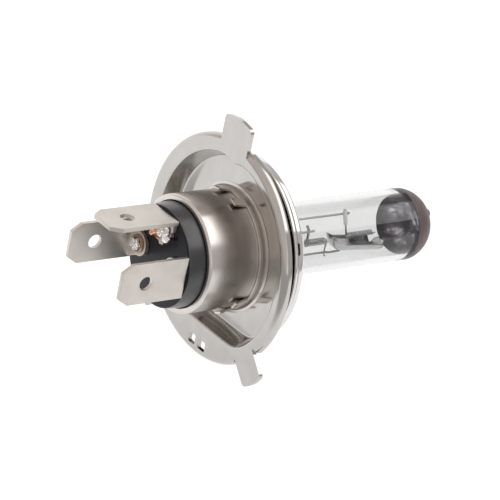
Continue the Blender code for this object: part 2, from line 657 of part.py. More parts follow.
def hollow_rod(name, start, end, outer, inner, mat):
    length = (end - start).length
    rod = turned(name, [(inner, 0), (outer, 0), (outer, length), (inner, length)], mat, 16)
    spin = Vector((0, 1, 0)).rotation_difference(end - start).to_matrix().to_4x4()
    rod.data.transform(Matrix.Translation(start * MM) @ spin)
    return rod


def make_shield():
    """Half-round trough, open at the top, with a rounded rear end and a front tongue."""
    r, wall = SHIELD_RADIUS, SHIELD_WALL
    steps = 6
    nose = [math.radians(90 * k / steps) for k in range(steps + 1)]
    rear = station(SHIELD_REAR) + SHIELD_NOSE
    front = station(SHIELD_FRONT)
    outer = [(r * math.sin(a), rear - SHIELD_NOSE * math.cos(a)) for a in nose]
    inner = [((r - wall) * math.sin(a), rear - (SHIELD_NOSE - wall) * math.cos(a))
             for a in reversed(nose)]
    profile = [*outer, (r, front), (r - wall, front), *inner]
    shield = turned("beam_shield", profile, MOLYBDENUM, 18, 180.0)
    shield.data.transform(Matrix.Translation((0, 0, SHIELD_AXIS_Z * MM)))
    half = SHIELD_TONGUE_WIDTH / 2
    low = SHIELD_AXIS_Z - r
    tip = station(SHIELD_FRONT + TONGUE_LENGTH)
    tool = block("cut_shield_tongue", (-half, front - 1.0, low + 0.02),
                 (half, tip, low + wall + 0.15))
    combine(shield, tool, "UNION")


def build():
    make_flange()
    make_shell()
    make_crimp_ring()
    make_collar()
    make_sleeve()
    make_glass()
    make_seal()
    make_foils()
    make_insulator()
    for side, angle in blade_turns().items():
        make_blade(side, angle)
        make_joint(side)
    make_supply_wires()
    make_filaments()
    make_leads()
    make_shield()


build()
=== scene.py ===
"""Looks of a two-filament headlight bulb: finely shaped pieces and materials around its frame.

Frame: +Y runs forward along the bulb's axis towards the glass, +Z is up with the wide lug at
twelve o'clock, +X is to the right when looking forward.  Sizes are millimetres and angles are
degrees unless a name says otherwise.
"""
from math import cos, degrees, exp, hypot, pi, radians, sin, sqrt, tan

import bmesh
import bpy
from mathutils import Matrix, Vector, noise


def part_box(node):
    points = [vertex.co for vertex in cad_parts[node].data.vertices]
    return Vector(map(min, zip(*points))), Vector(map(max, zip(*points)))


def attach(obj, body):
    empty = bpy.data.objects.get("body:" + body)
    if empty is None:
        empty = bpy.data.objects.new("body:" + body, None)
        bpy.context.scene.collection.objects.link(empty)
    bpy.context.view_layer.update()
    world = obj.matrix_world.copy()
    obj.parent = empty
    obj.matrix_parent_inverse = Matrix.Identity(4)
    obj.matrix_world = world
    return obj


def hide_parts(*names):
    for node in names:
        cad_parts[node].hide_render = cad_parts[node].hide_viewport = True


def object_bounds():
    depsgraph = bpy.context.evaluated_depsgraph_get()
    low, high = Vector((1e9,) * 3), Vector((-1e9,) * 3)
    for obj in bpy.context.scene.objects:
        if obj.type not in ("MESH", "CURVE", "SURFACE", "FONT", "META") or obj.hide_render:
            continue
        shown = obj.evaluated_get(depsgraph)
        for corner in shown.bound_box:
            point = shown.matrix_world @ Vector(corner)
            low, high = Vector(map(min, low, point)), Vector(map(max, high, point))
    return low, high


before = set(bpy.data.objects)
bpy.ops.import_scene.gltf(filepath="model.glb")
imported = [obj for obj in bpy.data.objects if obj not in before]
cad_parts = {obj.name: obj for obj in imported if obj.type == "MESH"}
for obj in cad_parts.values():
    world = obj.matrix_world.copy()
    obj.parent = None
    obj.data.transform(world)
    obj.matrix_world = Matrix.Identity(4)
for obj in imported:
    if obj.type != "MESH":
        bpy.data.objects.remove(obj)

CAD_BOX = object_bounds()
MM = 0.001

# ---- camera ----
CAMERA_AZIMUTH = 49.53  # from behind the bulb (-Y) round to its right
CAMERA_ELEVATION = 24.64
CAMERA_ROLL = 11.83
CAMERA_DISTANCE = 555.6
CAMERA_AIM = (3.96, 5.38, 1.09)
CAMERA_LENS = 219.0

# ---- how finely round things are drawn ----
ROUND_STEPS = 192
SMALL_STEPS = 48
FILLET_STEPS = 5
SMOOTH_ANGLE = 30.0
SQUARE = ((-1, -1), (1, -1), (1, 1), (-1, 1))  # corners, as signs of the two half sizes


def span(node):
    """A node's lowest and highest corners, in millimetres."""
    low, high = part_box(node)
    return [v / MM for v in low], [v / MM for v in high]


# ---- flange ----
FLANGE_HIGH = span("flange")[1]
SHEET = 0.8
RING_RADIUS = FLANGE_HIGH[0]
RING_BEND = 1.1  # radius of the bend between ring and skirt
RING_BEND_STEPS = 6
SKIRT_DEPTH = 1.8
PRESSED_EDGE = 0.12  # rounding of the skirt's cut edge
INNER_BEND = 0.15  # and of the corner inside the skirt
LUG_REACH = FLANGE_HIGH[2]
LUG_CORNER = 0.9
LUG_RELIEF = 0.45
LUG_ROOT = 1.7  # how far inside the ring's edge a lug starts
LUG_TIP_DROP = 0.35  # how far a lug's corners stay behind its tip
LUG_TIP_ROUND = 6.0
NOTCH_DEPTH = 1.2  # notches beside the lugs, cut into the ring's edge
NOTCH_REACH = 2.0  # how far their cutter reaches past the ring
NOTCH_CORNER = 0.35
LUGS = ((90.0, 8.0), (-45.0, 5.9), (225.0, 5.9))  # angle about the axis and width
PUNCHES = ((-0.85, 1.95), (2.25, 2.15))  # centre x and width of each window
PUNCH_Z = -18.95
PUNCH_HEIGHT = 1.9
PUNCH_CORNER = 0.2
CUT_THROUGH = 1.0  # how far a cutting tool reaches past the sheet
DISH_RADIUS = 18.5
DISH_SHIFT_X = 0.6
DISH_CHORD = 15.0
DISH_DEPTH = FLANGE_HIGH[1] - SHEET
DISH_LEAN = 1.3
DISH_LIP = 0.4
DISH_FOOT = 0.35
DISH_BEND_STEPS = 7
DISH_REAR_EDGE = -1.2  # insets where the flat ring meets the dish's bend, behind and in front
DISH_FRONT_EDGE = -1.4
DISH_FLOOR_EDGE = 1.5  # how far inside the wall the flat floor starts
DISH_DENT = (90.0, 0.75, 6.5)  # where the lip is pushed in, how far, and over what angle
DISH_BULGE = (70.0, 0.35, 8.0)  # and where it bulges out beside that
DISH_CORNER_POWER = 24.0  # higher is squarer
DISH_HOLE_CLEARANCE = 0.15

# ---- base shell and insulator ----
SHELL_LOW, SHELL_HIGH = span("base_shell")
SHELL_RADIUS = SHELL_HIGH[0]
SHELL_REAR = SHELL_LOW[1]
SHELL_MOUTH = 9.9
SHELL_WALL = 0.5
SHELL_LIP = 0.14  # rounding of the mouth's edge
SHELL_STEPS = 9
SEATING_GAP = 0.05  # left where a piece stands on another
INSULATOR_LOW, INSULATOR_HIGH = span("insulator")
INSULATOR_REAR = INSULATOR_LOW[1]
INSULATOR_REAR_RADIUS = 9.5
INSULATOR_FIT = 0.12  # clearance in the shell's mouth
INSULATOR_SHELL_FIT = 0.3  # and inside the shell
INSULATOR_EDGE = 0.4
SIDE_FACING = 0.7  # faces less along the axis than this are the insulator's side

# ---- crimp ring ----
CRIMP_WALL = 0.4
CRIMP_CLEARANCE = 0.04
CRIMP_STEPS = 1080
CRIMP_ROUND = 0.04  # rounding of the sheet's rear edge
CRIMP_BEND = 0.3  # length over which a tongue bends off the shell
CRIMP_EDGE = 2.2
CRIMP_MIDDLE = 1.9  # rear edge between the two tongues of a lug
CRIMP_FOOT_RADIUS = 12.2
CRIMP_LIFT = 0.46  # how far the tongues' ends spring off the shell
TONGUE_REACH = -0.5
TONGUE_HALF = 4.7  # half of a tongue's width, as an angle
TONGUE_OFFSET = 13.5
TONGUE_TURN = -3.5  # how far each pair of tongues is turned from its lug
TONGUE_SLANT = 1.3  # angle over which a tongue's side slants

# ---- collar ----
COLLAR_EDGE_RADIUS = span("collar")[1][0]
COLLAR_REAR = span("collar")[0][1]
COLLAR_FRONT = 8.6
COLLAR_WALL = 0.7
COLLAR_BAND_RADIUS = 17.9
COLLAR_SHOULDER_RADIUS = 16.2
COLLAR_SHOULDER = 7.65
COLLAR_GROOVE = 0.4  # depth of the groove around the band
COLLAR_GROOVE_Y = 5.85
COLLAR_NECK = 1.2  # clearance of the neck around the glass
COLLAR_STEPS = 7
COLLAR_SLOT_LENGTH = 2.4
COLLAR_SLOT_WIDTH = 0.9
COLLAR_SLOT_Y = 5.95
COLLAR_SLOT_ANGLES = (24.0, 144.0, 264.0)
COLLAR_SLOT_INSIDE = 2.0  # how far inside the band their cutter starts
COLLAR_SLOT_CUT = 3.0
SLEEVE_FIT = 0.2  # clearance of the sleeve around the glass
SLEEVE_WALL = 0.6

# ---- glass ----
TUBE_RADIUS = span("glass_envelope")[1][0]
TUBE_WALL = 1.1
TUBE_INNER = TUBE_RADIUS - TUBE_WALL
DOME_START = span("tip_coating")[0][1]
DOME_HEIGHT = 6.2
COAT_THICKNESS = 0.12
COAT_OVERLAP = 0.02  # how far the coat sinks into the glass
PIP_RADIUS = 1.0
PIP_TIP = span("tip_coating")[1][1]
PIP_RISE = 1.5
SEAL_HALF_WIDTH = 6.6
SEAL_HALF_THICKNESS = 2.2
SEAL_CORNER_POWER = 6.0  # higher is squarer
SEAL_FLARE_START = 9.6  # where the flat seal starts to widen into the tube
SEAL_FLARE_END = 15.0
CAVITY_REAR = 14.4  # rear end of the hollow, above the seal
CAVITY_BACK = 1.6  # length of the hollow's rounded rear end
FLARE_STEPS = 12
CAVITY_STEPS = 14
COAT_STEPS = 28

# ---- contact blades ----
BLADE_WIDTH = 8.0
BLADE_THICKNESS = 0.8
BLADE_TIP = span("blade_top")[0][1]
BLADE_OUTER = span("blade_top")[1][2]
BLADE_CHAMFER_LONG = 2.1
BLADE_CHAMFER_SHORT = 1.4
BLADE_HOLE_RADIUS = 1.35
BLADE_HOLE_Y = -20.8
BLADE_CORNER = 0.35
FOOT_FRONT = INSULATOR_REAR - SEATING_GAP
FOOT_REAR = FOOT_FRONT - BLADE_THICKNESS
FOOT_SHARE = 0.92  # width of a side blade's foot, as a share of the blade's
FOOT_RADIUS = 2.3
BLADE_TURNS = {"right": 0.0, "top": 90.0, "left": 180.0}

# ---- materials ----

NOISE_ROUGHNESS = 0.55
CLOUD_DARK = 0.35  # noise values where clouds of colour are darkest and lightest
CLOUD_LIGHT = 0.65


def shader_tree(name):
    """A new node material, its tree and its Principled shader."""
    mat = bpy.data.materials.new(name)
    mat.use_nodes = True
    tree = mat.node_tree
    return mat, tree, tree.nodes["Principled BSDF"]


def texture_noise(tree, scale_mm, detail=3.0, stretch=(1.0, 1.0, 1.0)):
    """Noise whose grains are about scale_mm across, stretched along an axis if asked."""
    place = tree.nodes.new("ShaderNodeTexCoord")
    mapping = tree.nodes.new("ShaderNodeMapping")
    mapping.inputs["Scale"].default_value = stretch
    grain = tree.nodes.new("ShaderNodeTexNoise")
    grain.inputs["Scale"].default_value = 1.0 / (scale_mm * MM)
    grain.inputs["Detail"].default_value = detail
    grain.inputs["Roughness"].default_value = NOISE_ROUGHNESS
    tree.links.new(place.outputs["Object"], mapping.inputs["Vector"])
    tree.links.new(mapping.outputs["Vector"], grain.inputs["Vector"])
    return grain.outputs["Fac"]


def colour_ramp(tree, value, stops):
    """A value turned into colours, from two or more (position, colour) stops."""
    ramp = tree.nodes.new("ShaderNodeValToRGB")
    elements = ramp.color_ramp.elements
    elements.remove(elements[1])
    elements[0].position, first = stops[0]
    elements[0].color = (*first, 1.0)
    for position, colour in stops[1:]:
        elements.new(position).color = (*colour, 1.0)
    tree.links.new(value, ramp.inputs["Fac"])
    return ramp.outputs["Color"]


def map_range(tree, value, low, high, start=0.3, end=0.7, kind="LINEAR"):
    """A value between start and end, spread from low to high."""
    spread = tree.nodes.new("ShaderNodeMapRange")
    spread.interpolation_type = kind
    spread.inputs["From Min"].default_value = start
    spread.inputs["From Max"].default_value = end
    spread.inputs["To Min"].default_value = low
    spread.inputs["To Max"].default_value = high
    tree.links.new(value, spread.inputs["Value"])
    return spread.outputs["Result"]


def add_bump(tree, shader, height, depth_mm):
    bump = tree.nodes.new("ShaderNodeBump")
    bump.inputs["Distance"].default_value = depth_mm * MM
    tree.links.new(height, bump.inputs["Height"])
    tree.links.new(bump.outputs["Normal"], shader.inputs["Normal"])


def shades(colour, amount):
    """A darker and a lighter version of a colour."""
    return tuple(c * (1 - amount) for c in colour), tuple(min(1.0, c * (1 + amount)) for c in colour)


def clouded(tree, shader, colour, amount, scale_mm):
    """Give a shader a base colour with clouds a little darker and lighter."""
    dark, light = shades(colour, amount)
    clouds = texture_noise(tree, scale_mm, 4.0)
    tree.links.new(colour_ramp(tree, clouds, [(CLOUD_DARK, dark), (CLOUD_LIGHT, light)]),
                   shader.inputs["Base Color"])


def polished(tree, shader, rough_low, rough_high, scale_mm):
    """Let a shader's roughness drift between two values."""
    polish = texture_noise(tree, scale_mm)
    tree.links.new(map_range(tree, polish, rough_low, rough_high), shader.inputs["Roughness"])


def metal(name, colour, rough_low, rough_high, cloud_mm=4.0, cloud=0.04, grain_mm=0.15,
          grain_depth=0.0005):
    """Metal with cloudy colour and polish and a fine surface grain."""
    mat, tree, shader = shader_tree(name)
    shader.inputs["Metallic"].default_value = 1.0
    clouded(tree, shader, colour, cloud, cloud_mm)
    polished(tree, shader, rough_low, rough_high, cloud_mm * 0.6)
    add_bump(tree, shader, texture_noise(tree, grain_mm, 2.0), grain_depth)
    return mat


def plastic(name, colour, rough_low, rough_high, grain_mm, grain_depth, cloud=0.15, gloss=0.5):
    """Moulded or coated surface with a slight grain."""
    mat, tree, shader = shader_tree(name)
    shader.inputs["Specular IOR Level"].default_value = gloss
    clouded(tree, shader, colour, cloud, 3.0)
    polished(tree, shader, rough_low, rough_high, 1.2)
    add_bump(tree, shader, texture_noise(tree, grain_mm), grain_depth)
    return mat


def glass(name, colour, ior, rough_low, rough_high, waviness):
    """Clear glass with a very faint waviness from drawing."""
    mat, tree, shader = shader_tree(name)
    shader.inputs["Transmission Weight"].default_value = 1.0
    shader.inputs["IOR"].default_value = ior
    dark, light = shades(colour, 0.01)
    tree.links.new(colour_ramp(tree, texture_noise(tree, 8.0), [(0.4, dark), (0.6, light)]),
                   shader.inputs["Base Color"])
    polished(tree, shader, rough_low, rough_high, 5.0)
    add_bump(tree, shader, texture_noise(tree, 6.0, 1.0, stretch=(1.0, 0.25, 1.0)), waviness)
    return mat


def mirror_with_painted_streaks(name, stops):
    """Dark mirror on the inside of the coat, with painted reflection streaks along the bulb: its
    lighter streaks stand in for reflected bands.
    """
    mat, tree, shader = shader_tree(name)
    shader.inputs["Metallic"].default_value = 1.0
    # painted reflection: noise stretched along the bulb, ramped from dark to light mirror colour
    painted_reflection_streaks = texture_noise(tree, 1.1, 4.0, stretch=(1.0, 0.15, 1.0))
    tree.links.new(colour_ramp(tree, painted_reflection_streaks, stops), shader.inputs["Base Color"])
    polished(tree, shader, 0.10, 0.22, 1.5)
    return mat


NICKEL = metal("nickel_plate", (0.485, 0.470, 0.452), 0.10, 0.14, grain_mm=0.1, grain_depth=0.0003)
SHELL_NICKEL = metal("nickel_shell", (0.62, 0.588, 0.560), 0.24, 0.27, grain_mm=0.1,
                     grain_depth=0.0001)
STEEL = metal("bright_steel", (0.66, 0.65, 0.64), 0.04, 0.07, grain_depth=0.0002)
BLADE_TIN = metal("blade_tin", (0.66, 0.625, 0.585), 0.40, 0.48, grain_mm=0.12, grain_depth=0.003)
INSULATOR_BLACK = plastic("insulator_black", (0.006, 0.006, 0.010), 0.20, 0.26, 0.2, 0.0004,
                          gloss=0.2)
INSULATOR_SIDE = plastic("insulator_side", (0.008, 0.008, 0.012), 0.26, 0.32, 0.2, 0.0004,
                         gloss=0.9)
EYELET_BRASS = metal("eyelet_brass", (0.34, 0.23, 0.17), 0.22, 0.40, 0.8, 0.2, 0.1, 0.004)
SOLDER = metal("solder", (0.82, 0.82, 0.82), 0.08, 0.18, 0.6, 0.05, 0.3, 0.02)
COPPER = metal("copper_wire", (0.80, 0.44, 0.24), 0.16, 0.26, 0.5, 0.12, 0.1, 0.003)
# It bends light less than real quartz does, so its surfaces veil less of what is inside.
QUARTZ = glass("quartz_glass", (0.76, 0.765, 0.762), 1.36, 0.0, 0.006, 0.002)
COATING = plastic("tip_coating", (0.100, 0.072, 0.071), 0.42, 0.52, 0.15, 0.003, 0.1)
TUNGSTEN = metal("tungsten", (0.55, 0.55, 0.56), 0.14, 0.22, 0.5, 0.06, 0.05, 0.001)
MOLYBDENUM = metal("molybdenum", (0.58, 0.58, 0.58), 0.08, 0.16, 1.5, 0.04, 0.1, 0.001)
# darker copy of the molybdenum for the shield's second side: painted shade inside the trough
MOLYBDENUM_PAINTED_SHADE = metal("molybdenum_painted_shade", (0.50, 0.49, 0.51), 0.10, 0.20, 1.0, 0.12, 0.1,
                        0.001)
LEAD_METAL = metal("molybdenum_lead", (0.30, 0.30, 0.30), 0.10, 0.18, 1.0, 0.06, 0.1, 0.001)
# inside of the coat: a dark mirror whose lighter streaks are painted reflections
COATING_INSIDE = mirror_with_painted_streaks("tip_coating_inside", [(0.40, (0.08, 0.075, 0.10)),
                                             (0.54, (0.26, 0.25, 0.30)),
                                             (0.64, (0.75, 0.74, 0.80))])
BEAD = plastic("bead_glass", (0.74, 0.76, 0.75), 0.12, 0.2, 0.2, 0.002, 0.04)


# ---- mesh tools ----

MERGE_DISTANCE = 1e-4
SLIVER = 1e-5
BEVEL_ANGLE = 40.0  # edges sharper than this are softened
END_STEPS = 3  # rings that round off each end of a wire


def new_object(name, data):
    item = bpy.data.objects.new(name, data)
    bpy.context.scene.collection.objects.link(item)
    return item


def finish_piece(name, mesh, mat, slot, *nodes):
    """Turn a mesh drawn in millimetres into a piece that stands for CAD nodes."""
    mesh.name = name
    mesh.transform(Matrix.Scale(MM, 4))
    mesh.materials.clear()
    mesh.materials.append(mat)
    mesh.shade_smooth()
    mesh.set_sharp_from_angle(angle=radians(SMOOTH_ANGLE))
    item = new_object(name, mesh)
    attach(item, "root")
    if nodes:
        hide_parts(*nodes)
    return item


def to_mesh(bm):
    """A mesh from a bmesh, with its faces turned outwards."""
    bmesh.ops.recalc_face_normals(bm, faces=bm.faces)
    mesh = bpy.data.meshes.new("piece")
    bm.to_mesh(mesh)
    bm.free()
    return mesh


def fillet(corners, steps=FILLET_STEPS, closed=True):
    """Round each corner (x, y, radius) of an outline with an arc of that radius."""
    path = []
    count = len(corners)
    for i, (x, y, radius) in enumerate(corners):
        here = Vector((x, y))
        at_end = not closed and i in (0, count - 1)
        if radius <= 0.0 or at_end:
            path.append(here)
            continue
        before = Vector(corners[i - 1][:2]) - here
        after = Vector(corners[(i + 1) % count][:2]) - here
        half = before.angle(after) / 2
        reach = min(radius / tan(half), before.length * 0.49, after.length * 0.49)
        radius = reach * tan(half)
        a = before.normalized()
        b = after.normalized()
        centre = here + (a + b).normalized() * radius / sin(half)
        start = here + a * reach - centre
        end = here + b * reach - centre
        turn = start.angle_signed(end)
        for k in range(steps + 1):
            spin = Matrix.Rotation(-turn * k / steps, 2)
            path.append(centre + spin @ start)
    return [(p.x, p.y) for p in path]


def turned(profile, segments=ROUND_STEPS):
    """Turn a closed outline of (radius, y) points about the Y axis."""
    bm = bmesh.new()
    rows = []
    for i in range(segments):
        t = 2 * pi * i / segments
        rows.append([(r * cos(t), y, r * sin(t)) for r, y in profile])
    verts = [[bm.verts.new(p) for p in row] for row in rows]
    for row, after in zip(verts, verts[1:] + verts[:1]):
        for j in range(len(profile)):
            k = (j + 1) % len(profile)
            bm.faces.new((row[j], row[k], after[k], after[j]))
    bmesh.ops.remove_doubles(bm, verts=bm.verts, dist=MERGE_DISTANCE)
    bmesh.ops.dissolve_degenerate(bm, edges=bm.edges, dist=SLIVER)
    return to_mesh(bm)


def lofted(loops, closed=True, caps=False):
    """Bridge loops with equal numbers of points; closed joins the last loop to the first."""
    bm = bmesh.new()
    rows = [[bm.verts.new(p) for p in loop] for loop in loops]
    count = len(rows[0])
    pairs = list(zip(rows, rows[1:]))
    if closed:
        pairs.append((rows[-1], rows[0]))
    for row, after in pairs:
        for i in range(count):
            j = (i + 1) % count
            bm.faces.new((row[i], row[j], after[j], after[i]))
    if caps:
        bm.faces.new(rows[0])
        bm.faces.new(rows[-1])
    return to_mesh(bm)


def extruded(outline, low, high, place=Matrix.Identity(4)):
    """Extrude an (x, z) outline from y = low to y = high, then place it."""
    bm = bmesh.new()
    face = bm.faces.new([bm.verts.new((x, low, z)) for x, z in outline])
    pushed = bmesh.ops.extrude_face_region(bm, geom=[face])
    moved = [v for v in pushed["geom"] if isinstance(v, bmesh.types.BMVert)]
    bmesh.ops.translate(bm, vec=(0.0, high - low, 0.0), verts=moved)
    bmesh.ops.transform(bm, matrix=place, verts=bm.verts)
    return to_mesh(bm)


def combined(base, tools):
    """Apply Boolean steps (operation, mesh) to a base mesh and return the result."""
    item = new_object("base", base)
    helpers = []
    for operation, mesh in tools:
        helper = new_object("tool", mesh)
        helpers.append(helper)
        step = item.modifiers.new("step", "BOOLEAN")
        step.object = helper
        step.operation = operation
    result = evaluated(item)
    for old in [item, *helpers]:
        bpy.data.objects.remove(old)
    return result


def evaluated(item):
    """The mesh of an object with its modifiers applied."""
    bpy.context.view_layer.update()
    graph = bpy.context.evaluated_depsgraph_get()
    return bpy.data.meshes.new_from_object(item.evaluated_get(graph), depsgraph=graph)


def add_bevel(item, width, segments=3):
    """Soften the sharp edges of a finished piece."""
    bevel = item.modifiers.new("soft_edges", "BEVEL")
    bevel.width = width * MM
    bevel.segments = segments
    bevel.limit_method = "ANGLE"
    bevel.angle_limit = radians(BEVEL_ANGLE)
    bevel.harden_normals = True


def about_axis(angle):
    """Rotate about the bulb's axis, from +X towards +Z."""
    return Matrix.Rotation(-radians(angle), 4, "Y")


def arc(cx, cz, radius, start, end, steps):
    """Points on a circle from one angle to another."""
    spots = [radians(start + (end - start) * k / steps) for k in range(steps + 1)]
    return [(cx + radius * cos(a), cz + radius * sin(a)) for a in spots]


def smooth_path(corners, steps=8):
    """A Catmull-Rom path through a few chosen corners."""
    ends = [corners[0]] + list(corners) + [corners[-1]]
    spots = [Vector(c) for c in ends]
    path = []
    for a, b, c, d in zip(spots, spots[1:], spots[2:], spots[3:]):
        for k in range(steps):
            t = k / steps
            path.append(0.5 * (2 * b + (c - a) * t + (2 * a - 5 * b + 4 * c - d) * t ** 2
                               + (3 * b - a - 3 * c + d) * t ** 3))
    path.append(spots[-1])
    return path


def tube(path, radius, sides):
    """A round wire along a path, with softly rounded ends."""
    spots = [Vector(p) for p in path]
    first = (spots[1] - spots[0]).normalized()
    last = (spots[-1] - spots[-2]).normalized()
    rounding = [radians(10 + 80 * k / END_STEPS) for k in range(END_STEPS)]
    head = [(spots[0] + first * radius * (1 - cos(a)), radius * sin(a)) for a in rounding]
    tail = [(spots[-1] - last * radius * (1 - cos(a)), radius * sin(a))
            for a in reversed(rounding)]
    inside = [spots[0] + first * radius, *spots[1:-1], spots[-1] - last * radius]
    stations = head + [(spot, radius) for spot in inside] + tail
    centres = [spot for spot, _ in stations]
    turns = [2 * pi * k / sides for k in range(sides)]
    loops = []
    across = None
    for i, (spot, reach) in enumerate(stations):
        ahead = centres[min(i + 1, len(centres) - 1)] - centres[max(i - 1, 0)]
        forward = ahead.normalized()
        if across is None:
            across = forward.orthogonal().normalized()
        across = (across - forward * across.dot(forward)).normalized()
        other = forward.cross(across)
        loops.append([spot + (across * cos(t) + other * sin(t)) * reach for t in turns])
    return lofted(loops, closed=False, caps=True)


# ---- flange ----

ROUND_TURNS = [2 * pi * i / ROUND_STEPS for i in range(ROUND_STEPS)]


def circle_loop(radius, y):
    return [(radius * cos(t), y, radius * sin(t)) for t in ROUND_TURNS]


def hump(angle, centre, height, width):
    """A smooth rise around one angle."""
    return height * exp(-((angle - centre) / width) ** 2)


def dish_loop(inset, y):
    """The dish's outline: a circle cut by a chord at the bottom, with a rounded corner."""
    radius = DISH_RADIUS - inset
    chord = DISH_CHORD - inset
    near_lip = max(0.0, 1.0 - abs(y) / DISH_DEPTH)
    loop = []
    for t in ROUND_TURNS:
        reach = radius
        if sin(t) < 0.0:
            straight = chord / -sin(t)
            power = DISH_CORNER_POWER
            reach = (radius ** -power + straight ** -power) ** (-1.0 / power)
        reach -= near_lip * hump(degrees(t), *DISH_DENT)
        reach += near_lip * hump(degrees(t), *DISH_BULGE)
        loop.append((DISH_SHIFT_X + reach * cos(t), y, reach * sin(t)))
    return loop


def lug_outline(width):
    """A lug pointing along +X, with a rounded tip."""
    half = width / 2
    root = RING_RADIUS - LUG_ROOT
    shoulder = sqrt((LUG_REACH - LUG_TIP_DROP) ** 2 - half ** 2)
    return fillet([(root, -half, 0.0), (shoulder, -half, LUG_CORNER),
                   (LUG_REACH, 0.0, LUG_TIP_ROUND), (shoulder, half, LUG_CORNER),
                   (root, half, 0.0)])


def make_flange():
    """Ring with a bent skirt, pressed dish, notches beside the lugs, lugs and punched windows."""
    slope = DISH_LEAN / DISH_DEPTH
    offset = SHEET * sqrt(1 + slope ** 2)
    floor_front = DISH_DEPTH + SHEET
    foot = floor_front * slope - offset
    rear = fillet([(DISH_REAR_EDGE, 0.0, 0.0), (0.0, 0.0, DISH_LIP),
                   (DISH_LEAN, DISH_DEPTH, DISH_FOOT),
                   (DISH_LEAN + DISH_FLOOR_EDGE, DISH_DEPTH, 0.0)], DISH_BEND_STEPS, closed=False)
    front = fillet([(foot + DISH_FLOOR_EDGE, floor_front, 0.0),
                    (foot, floor_front, DISH_FOOT + SHEET * 0.5),
                    (SHEET * slope - offset, SHEET, DISH_LIP),
                    (DISH_FRONT_EDGE, SHEET, 0.0)], DISH_BEND_STEPS, closed=False)
    hole = SHELL_RADIUS + DISH_HOLE_CLEARANCE
    ring = RING_RADIUS - RING_BEND
    edge = PRESSED_EDGE
    inner = RING_RADIUS - SHEET
    bends = [pi / 2 * k / RING_BEND_STEPS for k in range(RING_BEND_STEPS + 1)]
    rim = [(inner + edge, SKIRT_DEPTH), (RING_RADIUS - edge, SKIRT_DEPTH),
           (RING_RADIUS - edge * 0.3, SKIRT_DEPTH - edge * 0.3), (RING_RADIUS, SKIRT_DEPTH - edge)]
    rim += [(ring + RING_BEND * cos(b), RING_BEND * (1 - sin(b))) for b in bends]
    loops = [circle_loop(r, y) for r, y in rim]
    loops += [dish_loop(inset, y) for inset, y in rear]
    loops += [circle_loop(hole, DISH_DEPTH), circle_loop(hole, floor_front)]
    loops += [dish_loop(inset, y) for inset, y in front]
    loops += [circle_loop(inner - INNER_BEND, SHEET), circle_loop(inner, SHEET + INNER_BEND),
              circle_loop(inner, SKIRT_DEPTH - edge)]
    tools = []
    for angle, width in LUGS:
        half = width / 2 + LUG_RELIEF
        outline = fillet([(RING_RADIUS - NOTCH_DEPTH, -half, NOTCH_CORNER),
                          (RING_RADIUS + NOTCH_REACH, -half, 0.0),
                          (RING_RADIUS + NOTCH_REACH, half, 0.0),
                          (RING_RADIUS - NOTCH_DEPTH, half, NOTCH_CORNER)])
        notch = extruded(outline, -CUT_THROUGH, SKIRT_DEPTH + CUT_THROUGH, about_axis(angle))
        tools.append(("DIFFERENCE", notch))
        tools.append(("UNION", extruded(lug_outline(width), 0.0, SHEET, about_axis(angle))))
    for x, width in PUNCHES:
        window = fillet([(x + i * width / 2, PUNCH_Z + j * PUNCH_HEIGHT / 2, PUNCH_CORNER)
                         for i, j in SQUARE])
        tools.append(("DIFFERENCE", extruded(window, -CUT_THROUGH, SHEET + CUT_THROUGH)))
    flange = finish_piece("flange_pressing", combined(lofted(loops), tools), NICKEL, "nickel_plate",
                          "flange")
    add_bevel(flange, 0.07, 2)


# ---- shell, insulator, crimps ----

def make_shell():
    """Thin can, rolled in at its rear mouth."""
    roll = SHELL_RADIUS - SHELL_MOUTH
    front = DISH_DEPTH - SEATING_GAP
    inner = SHELL_RADIUS - SHELL_WALL
    inside = SHELL_REAR + SHELL_WALL
    profile = fillet([(SHELL_RADIUS, front, 0.1), (SHELL_RADIUS, SHELL_REAR, roll),
                      (SHELL_MOUTH, SHELL_REAR, SHELL_LIP), (SHELL_MOUTH, inside, SHELL_LIP),
                      (inner, inside, roll - SHELL_WALL * 0.5), (inner, front, 0.1)], SHELL_STEPS)
    finish_piece("shell_can", turned(profile), SHELL_NICKEL, "nickel_plate", "base_shell")


def make_insulator():
    """Disc that stands out of the shell's mouth; its side is glossier than its face."""
    mouth = SHELL_MOUTH - INSULATOR_FIT
    inside = SHELL_RADIUS - SHELL_WALL - INSULATOR_SHELL_FIT
    lip = SHELL_REAR + SHELL_RADIUS - SHELL_MOUTH + INSULATOR_SHELL_FIT
    front = INSULATOR_HIGH[1]
    profile = fillet([(0.0, front, 0.0), (inside, front, 0.3), (inside, lip, 0.3),
                      (mouth, lip - INSULATOR_EDGE, 0.0), (mouth, SHELL_REAR - 0.3, 0.5),
                      (INSULATOR_REAR_RADIUS, INSULATOR_REAR, INSULATOR_EDGE),
                      (0.0, INSULATOR_REAR, 0.0)])
    disc = finish_piece("insulator_disc", turned(profile), INSULATOR_BLACK, "insulator_black",
                        "insulator")
    disc.data.materials.append(INSULATOR_SIDE)
    for face in disc.data.polygons:
        if abs(face.normal.y) < SIDE_FACING:
            face.material_index = 1


def smooth_share(value):
    """A value held between zero and one and eased at both ends."""
    share = min(1.0, max(0.0, value))
    return share * share * (3 - 2 * share)


def crimp_edge(angle):
    """How far back the crimp ring's rear edge reaches at an angle about the axis."""
    reach = CRIMP_EDGE
    for lug_angle, _ in LUGS:
        away = (angle - lug_angle - TONGUE_TURN + 180.0) % 360.0 - 180.0
        if abs(away) < TONGUE_OFFSET:
            reach = CRIMP_MIDDLE
        from_tongue = abs(abs(away) - TONGUE_OFFSET)
        blend = smooth_share((from_tongue - TONGUE_HALF) / TONGUE_SLANT + 0.5)
        reach = min(reach, TONGUE_REACH + (reach - TONGUE_REACH) * blend)
    return reach


